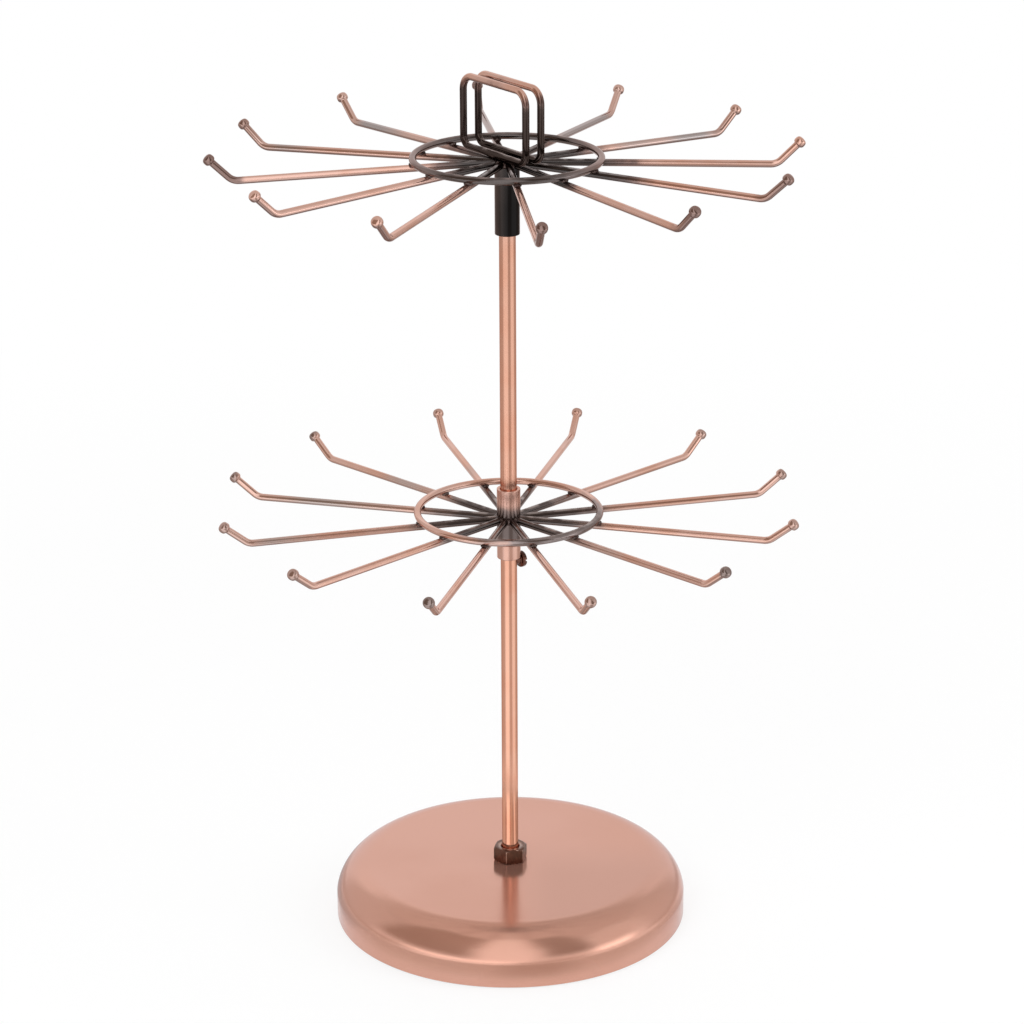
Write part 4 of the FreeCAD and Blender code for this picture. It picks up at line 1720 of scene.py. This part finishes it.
def upright_boards() -> tuple[Board, ...]:
    """The ceiling and the boards that stand round the stand."""
    return (
        Board("ceiling", (0.0, 360.0), (3.9, 2.7), (0.0, 2.7), (0.62, 0.76), soft=0.01,
              soft_rims=(0.35, 0.0001), warm=0.3),
        Board("front_strip", (-26.0, 22.0), (2.3, -0.2), (0.1, 4.6), (1.36, 0.98), soft=13.0,
              soft_rims=(0.05, 0.2)),
        Board("front_left", (-100.0, -18.0), (2.2, 0.02), (0.2, 4.8), (0.35, 0.39), soft=16.0,
              soft_rims=(0.12, 0.12), warm=1.0),
        Board("front_right", (17.0, 60.0), (2.2, 0.15), (0.2, 4.8), (0.29, 0.41), soft=12.0,
              soft_rims=(0.10, 0.15), warm=0.8),
        Board("right_side", (54.0, 100.0), (2.4, 0.3), (2.4, 5.0), (0.86, 0.80), soft=12.0,
              soft_rims=(0.1, 0.2), warm=0.1),
        Board("far_left", (-150.0, -88.0), (2.4, -0.4), (2.4, 2.6), (0.72, 0.70), soft=14.0,
              soft_rims=(0.1, 0.15), warm=0.2),
        Board("far_right", (90.0, 150.0), (2.4, -0.4), (2.4, 2.6), (0.72, 0.70), soft=14.0,
              soft_rims=(0.1, 0.15), warm=0.2),
        Board("low_left", (-80.0, 14.0), (2.1, -0.40), (2.1, 0.24), (3.5, 3.0), soft=24.0,
              soft_rims=(0.2, 0.5)),
        Board("low_right", (48.0, 88.0), (2.1, -0.3), (2.1, 0.65), (2.5, 2.2), soft=12.0,
              soft_rims=(0.2, 0.6)))


def floor_boards() -> tuple[Board, ...]:
    """Boards that lie just above the floor, stacked a tenth of a millimetre apart.

    Returns:
        The boards, those beside the foot last.
    """
    near, far, nearer_far = 0.13, 1.9, 1.4
    return (
        Board("floor_left", (-150.0, -56.0), (near, 0.2 * MM), (far, 0.2 * MM), (0.68, 0.48),
              soft=14.0, soft_rims=(0.02, 0.1), warm=0.4),
        Board("floor_right", (84.0, 150.0), (near, 0.2 * MM), (far, 0.2 * MM), (0.68, 0.42),
              soft=14.0, soft_rims=(0.02, 0.1), warm=0.4),
        Board("floor_dark", (-1.0, 44.0), (near, 0.4 * MM), (far, 0.4 * MM), (0.70, 0.34),
              soft=10.0, soft_rims=(0.01, 0.1), warm=0.4),
        Board("floor_bright", (-56.0, 2.0), (near, 0.3 * MM), (nearer_far, 0.3 * MM),
              (1.36, 0.84), soft=12.0, soft_rims=(0.02, 0.2)),
        Board("floor_side", (42.0, 86.0), (near, 0.3 * MM), (nearer_far, 0.3 * MM),
              (1.12, 0.92), soft=12.0, soft_rims=(0.02, 0.2)),
        Board("rim_front", (-11.0, 32.0), (0.079, 0.6 * MM), (0.14, 0.6 * MM), (0.57, 0.57),
              soft=18.0, soft_rims=(0.20, 0.2), warm=0.5),
        Board("rim_left", (-150.0, -64.0), (0.078, 0.7 * MM), (0.14, 0.7 * MM), (0.61, 0.61),
              soft=22.0, soft_rims=(0.12, 0.2)),
        Board("rim_round", (-110.0, 110.0), (0.078, 0.5 * MM), (0.14, 0.5 * MM), (0.74, 0.74),
              soft=20.0, soft_rims=(0.20, 0.2), warm=0.2))


def top_boards() -> tuple[Board, ...]:
    """Glowing boards over the foot that stand in for its top's light on the metal above; clear
    from below.

    Returns:
        The boards.
    """
    outer, inner = 76.5 * MM, 8.0 * MM
    low, middle, high = 24.2 * MM, 24.3 * MM, 24.4 * MM
    rows = (("top_left", (-150.0, -56.0), middle, (0.78, 0.68), 14.0, 0.6),
            ("top_right", (84.0, 150.0), middle, (0.60, 0.46), 14.0, 0.6),
            ("top_dark", (-1.0, 44.0), high, (0.66, 0.64), 10.0, 0.9),
            ("top_bright", (-58.0, 2.0), low, (1.40, 1.30), 14.0, 0.5),
            ("top_side", (42.0, 86.0), low, (1.00, 0.98), 12.0, 0.5))
    return tuple(Board(name, turns, (outer, height), (inner, height), shades, soft,
                       soft_rims=(0.1, 0.1), warm=warm, one_sided=True)
                 for name, turns, height, shades, soft, warm in rows)


@dataclass
class Studio:
    """Pale floor, plain lamps, boards for the metal to mirror, and the camera.

    Attributes:
        camera_distance: Camera to the pole's axis, level.
        camera_height: Camera above the floor.
        pitch: How far it looks down, in degrees.
        yaw: How far it is turned off the pole, in degrees.
        roll: How far it is rolled, in degrees.
        lens: Its focal length, in millimetres on a 36 mm sensor.
        middle: Height of the stand's middle.
        lamps: The softboxes.
        world_light: How strongly the white surroundings light the stand.
        floor_reach: Half the floor's width.
        floor_fade: Distances between which the floor fades into the white.
        floor_white: How white it already is close to the stand, from 0 to 1.
    """

    camera_distance: float = 1.345
    camera_height: float = 0.6728
    pitch: float = 19.925
    yaw: float = 0.06
    roll: float = -0.25
    lens: float = 119.2
    middle: float = 0.18
    lamps: tuple[Softbox, ...] = (
        Softbox("key", turn=-35.0, rise=42.0, distance=1.6, size=(1.0, 1.0), watts=10.5),
        Softbox("side", turn=78.0, rise=30.0, distance=1.5, size=(0.7, 1.0), watts=7.0),
        Softbox("top", turn=175.0, rise=75.0, distance=1.6, size=(0.9, 0.9), watts=7.5))
    world_light: float = 0.5
    floor_reach: float = 14.0
    floor_fade: tuple[float, float] = (0.15, 0.9)
    floor_white: float = 0.80

    def build_camera(self) -> None:
        """Make the camera, turned to the stand."""
        data = bpy.data.cameras.new("camera")
        data.lens = self.lens
        data.sensor_width = 36.0
        data.sensor_fit = "HORIZONTAL"
        data.clip_start, data.clip_end = 0.05, 60.0
        camera = bpy.data.objects.new("camera", data)
        bpy.context.scene.collection.objects.link(camera)
        place = towards(0.0) * self.camera_distance
        place.z = self.camera_height
        turn = Matrix.Rotation(math.radians(VIEW_TURN - self.yaw), 4, "Z")
        tilt = Matrix.Rotation(math.radians(90.0 - self.pitch), 4, "X")
        roll = Matrix.Rotation(math.radians(self.roll), 4, "Z")
        camera.matrix_world = Matrix.Translation(place) @ turn @ tilt @ roll
        bpy.context.scene.camera = camera

    def build_floor(self) -> None:
        """Make the pale floor, which fades into the white behind it and keeps the shadow."""
        reach = self.floor_reach
        mesh = bpy.data.meshes.new("floor")
        mesh.from_pydata([(-reach, -reach, 0.0), (reach, -reach, 0.0), (reach, reach, 0.0),
                          (-reach, reach, 0.0)], [], [(0, 1, 2, 3)])
        board = Surface("pale_floor")
        shader = board.tree.nodes["Principled BSDF"]
        shader.inputs["Base Color"].default_value = (0.93, 0.93, 0.93, 1.0)
        shader.inputs["Roughness"].default_value = 0.9
        shader.inputs["Specular IOR Level"].default_value = 0.0
        glow = board.add("ShaderNodeEmission", {"Color": (1.0, 1.0, 1.0, 1.0), "Strength": 1.0})
        away = board.measure("LENGTH", board.place)
        white = board.spread(away, *self.floor_fade, to_low=self.floor_white)
        share = board.math("MULTIPLY", self.seen_directly(board), white)
        board.end_in(share, shader, glow)
        new_piece("floor", mesh, board.material)

    @staticmethod
    def seen_directly(board: NodeBoard) -> Socket:
        """Tell the rays that show a background from those that light the stand.

        Args:
            board: The nodes of the floor or the world.

        Returns:
            1 for camera, glossy and transmission rays, and 0 for others.
        """
        path = board.add("ShaderNodeLightPath").outputs
        shown = board.math("MAXIMUM", path["Is Camera Ray"], path["Is Glossy Ray"])
        return board.math("MAXIMUM", shown, path["Is Transmission Ray"])

    def build_world(self) -> None:
        """Make the white surroundings, which light the stand less than they show."""
        world = bpy.data.worlds.new("studio")
        world.use_nodes = True
        bpy.context.scene.world = world
        board = NodeBoard(world.node_tree)
        background = world.node_tree.nodes["Background"]
        strength = board.math("MULTIPLY_ADD", self.seen_directly(board),
                              1.0 - self.world_light, self.world_light)
        background.inputs["Color"].default_value = (1.0, 1.0, 1.0, 1.0)
        world.node_tree.links.new(strength, background.inputs["Strength"])

    def build(self) -> None:
        """Make everything that surrounds the stand."""
        self.build_camera()
        self.build_floor()
        self.build_world()
        for lamp in self.lamps:
            lamp.build(self.middle)
        for board in (*upright_boards(), *floor_boards(), *top_boards()):
            board.build()
        bpy.context.scene.view_settings.view_transform = "Standard"


# ------------------------------------------------------------------ the whole stand


def clear_scene() -> None:
    """Remove whatever the startup file brought."""
    for thing in list(bpy.data.objects):
        bpy.data.objects.remove(thing)


def main() -> None:
    """Build the stand's looks and its studio round the frame."""
    logging.basicConfig(level=logging.INFO, format="%(message)s")
    clear_scene()
    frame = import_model()

    Studio().build()
    Foot().build(frame)
    Pole().build()
    sleeve = sleeve_black().build()
    lower_tier().build()
    upper_tier(sleeve).build()
    GripLoops().build(frame, sleeve)


if __name__ == "__main__":
    main()
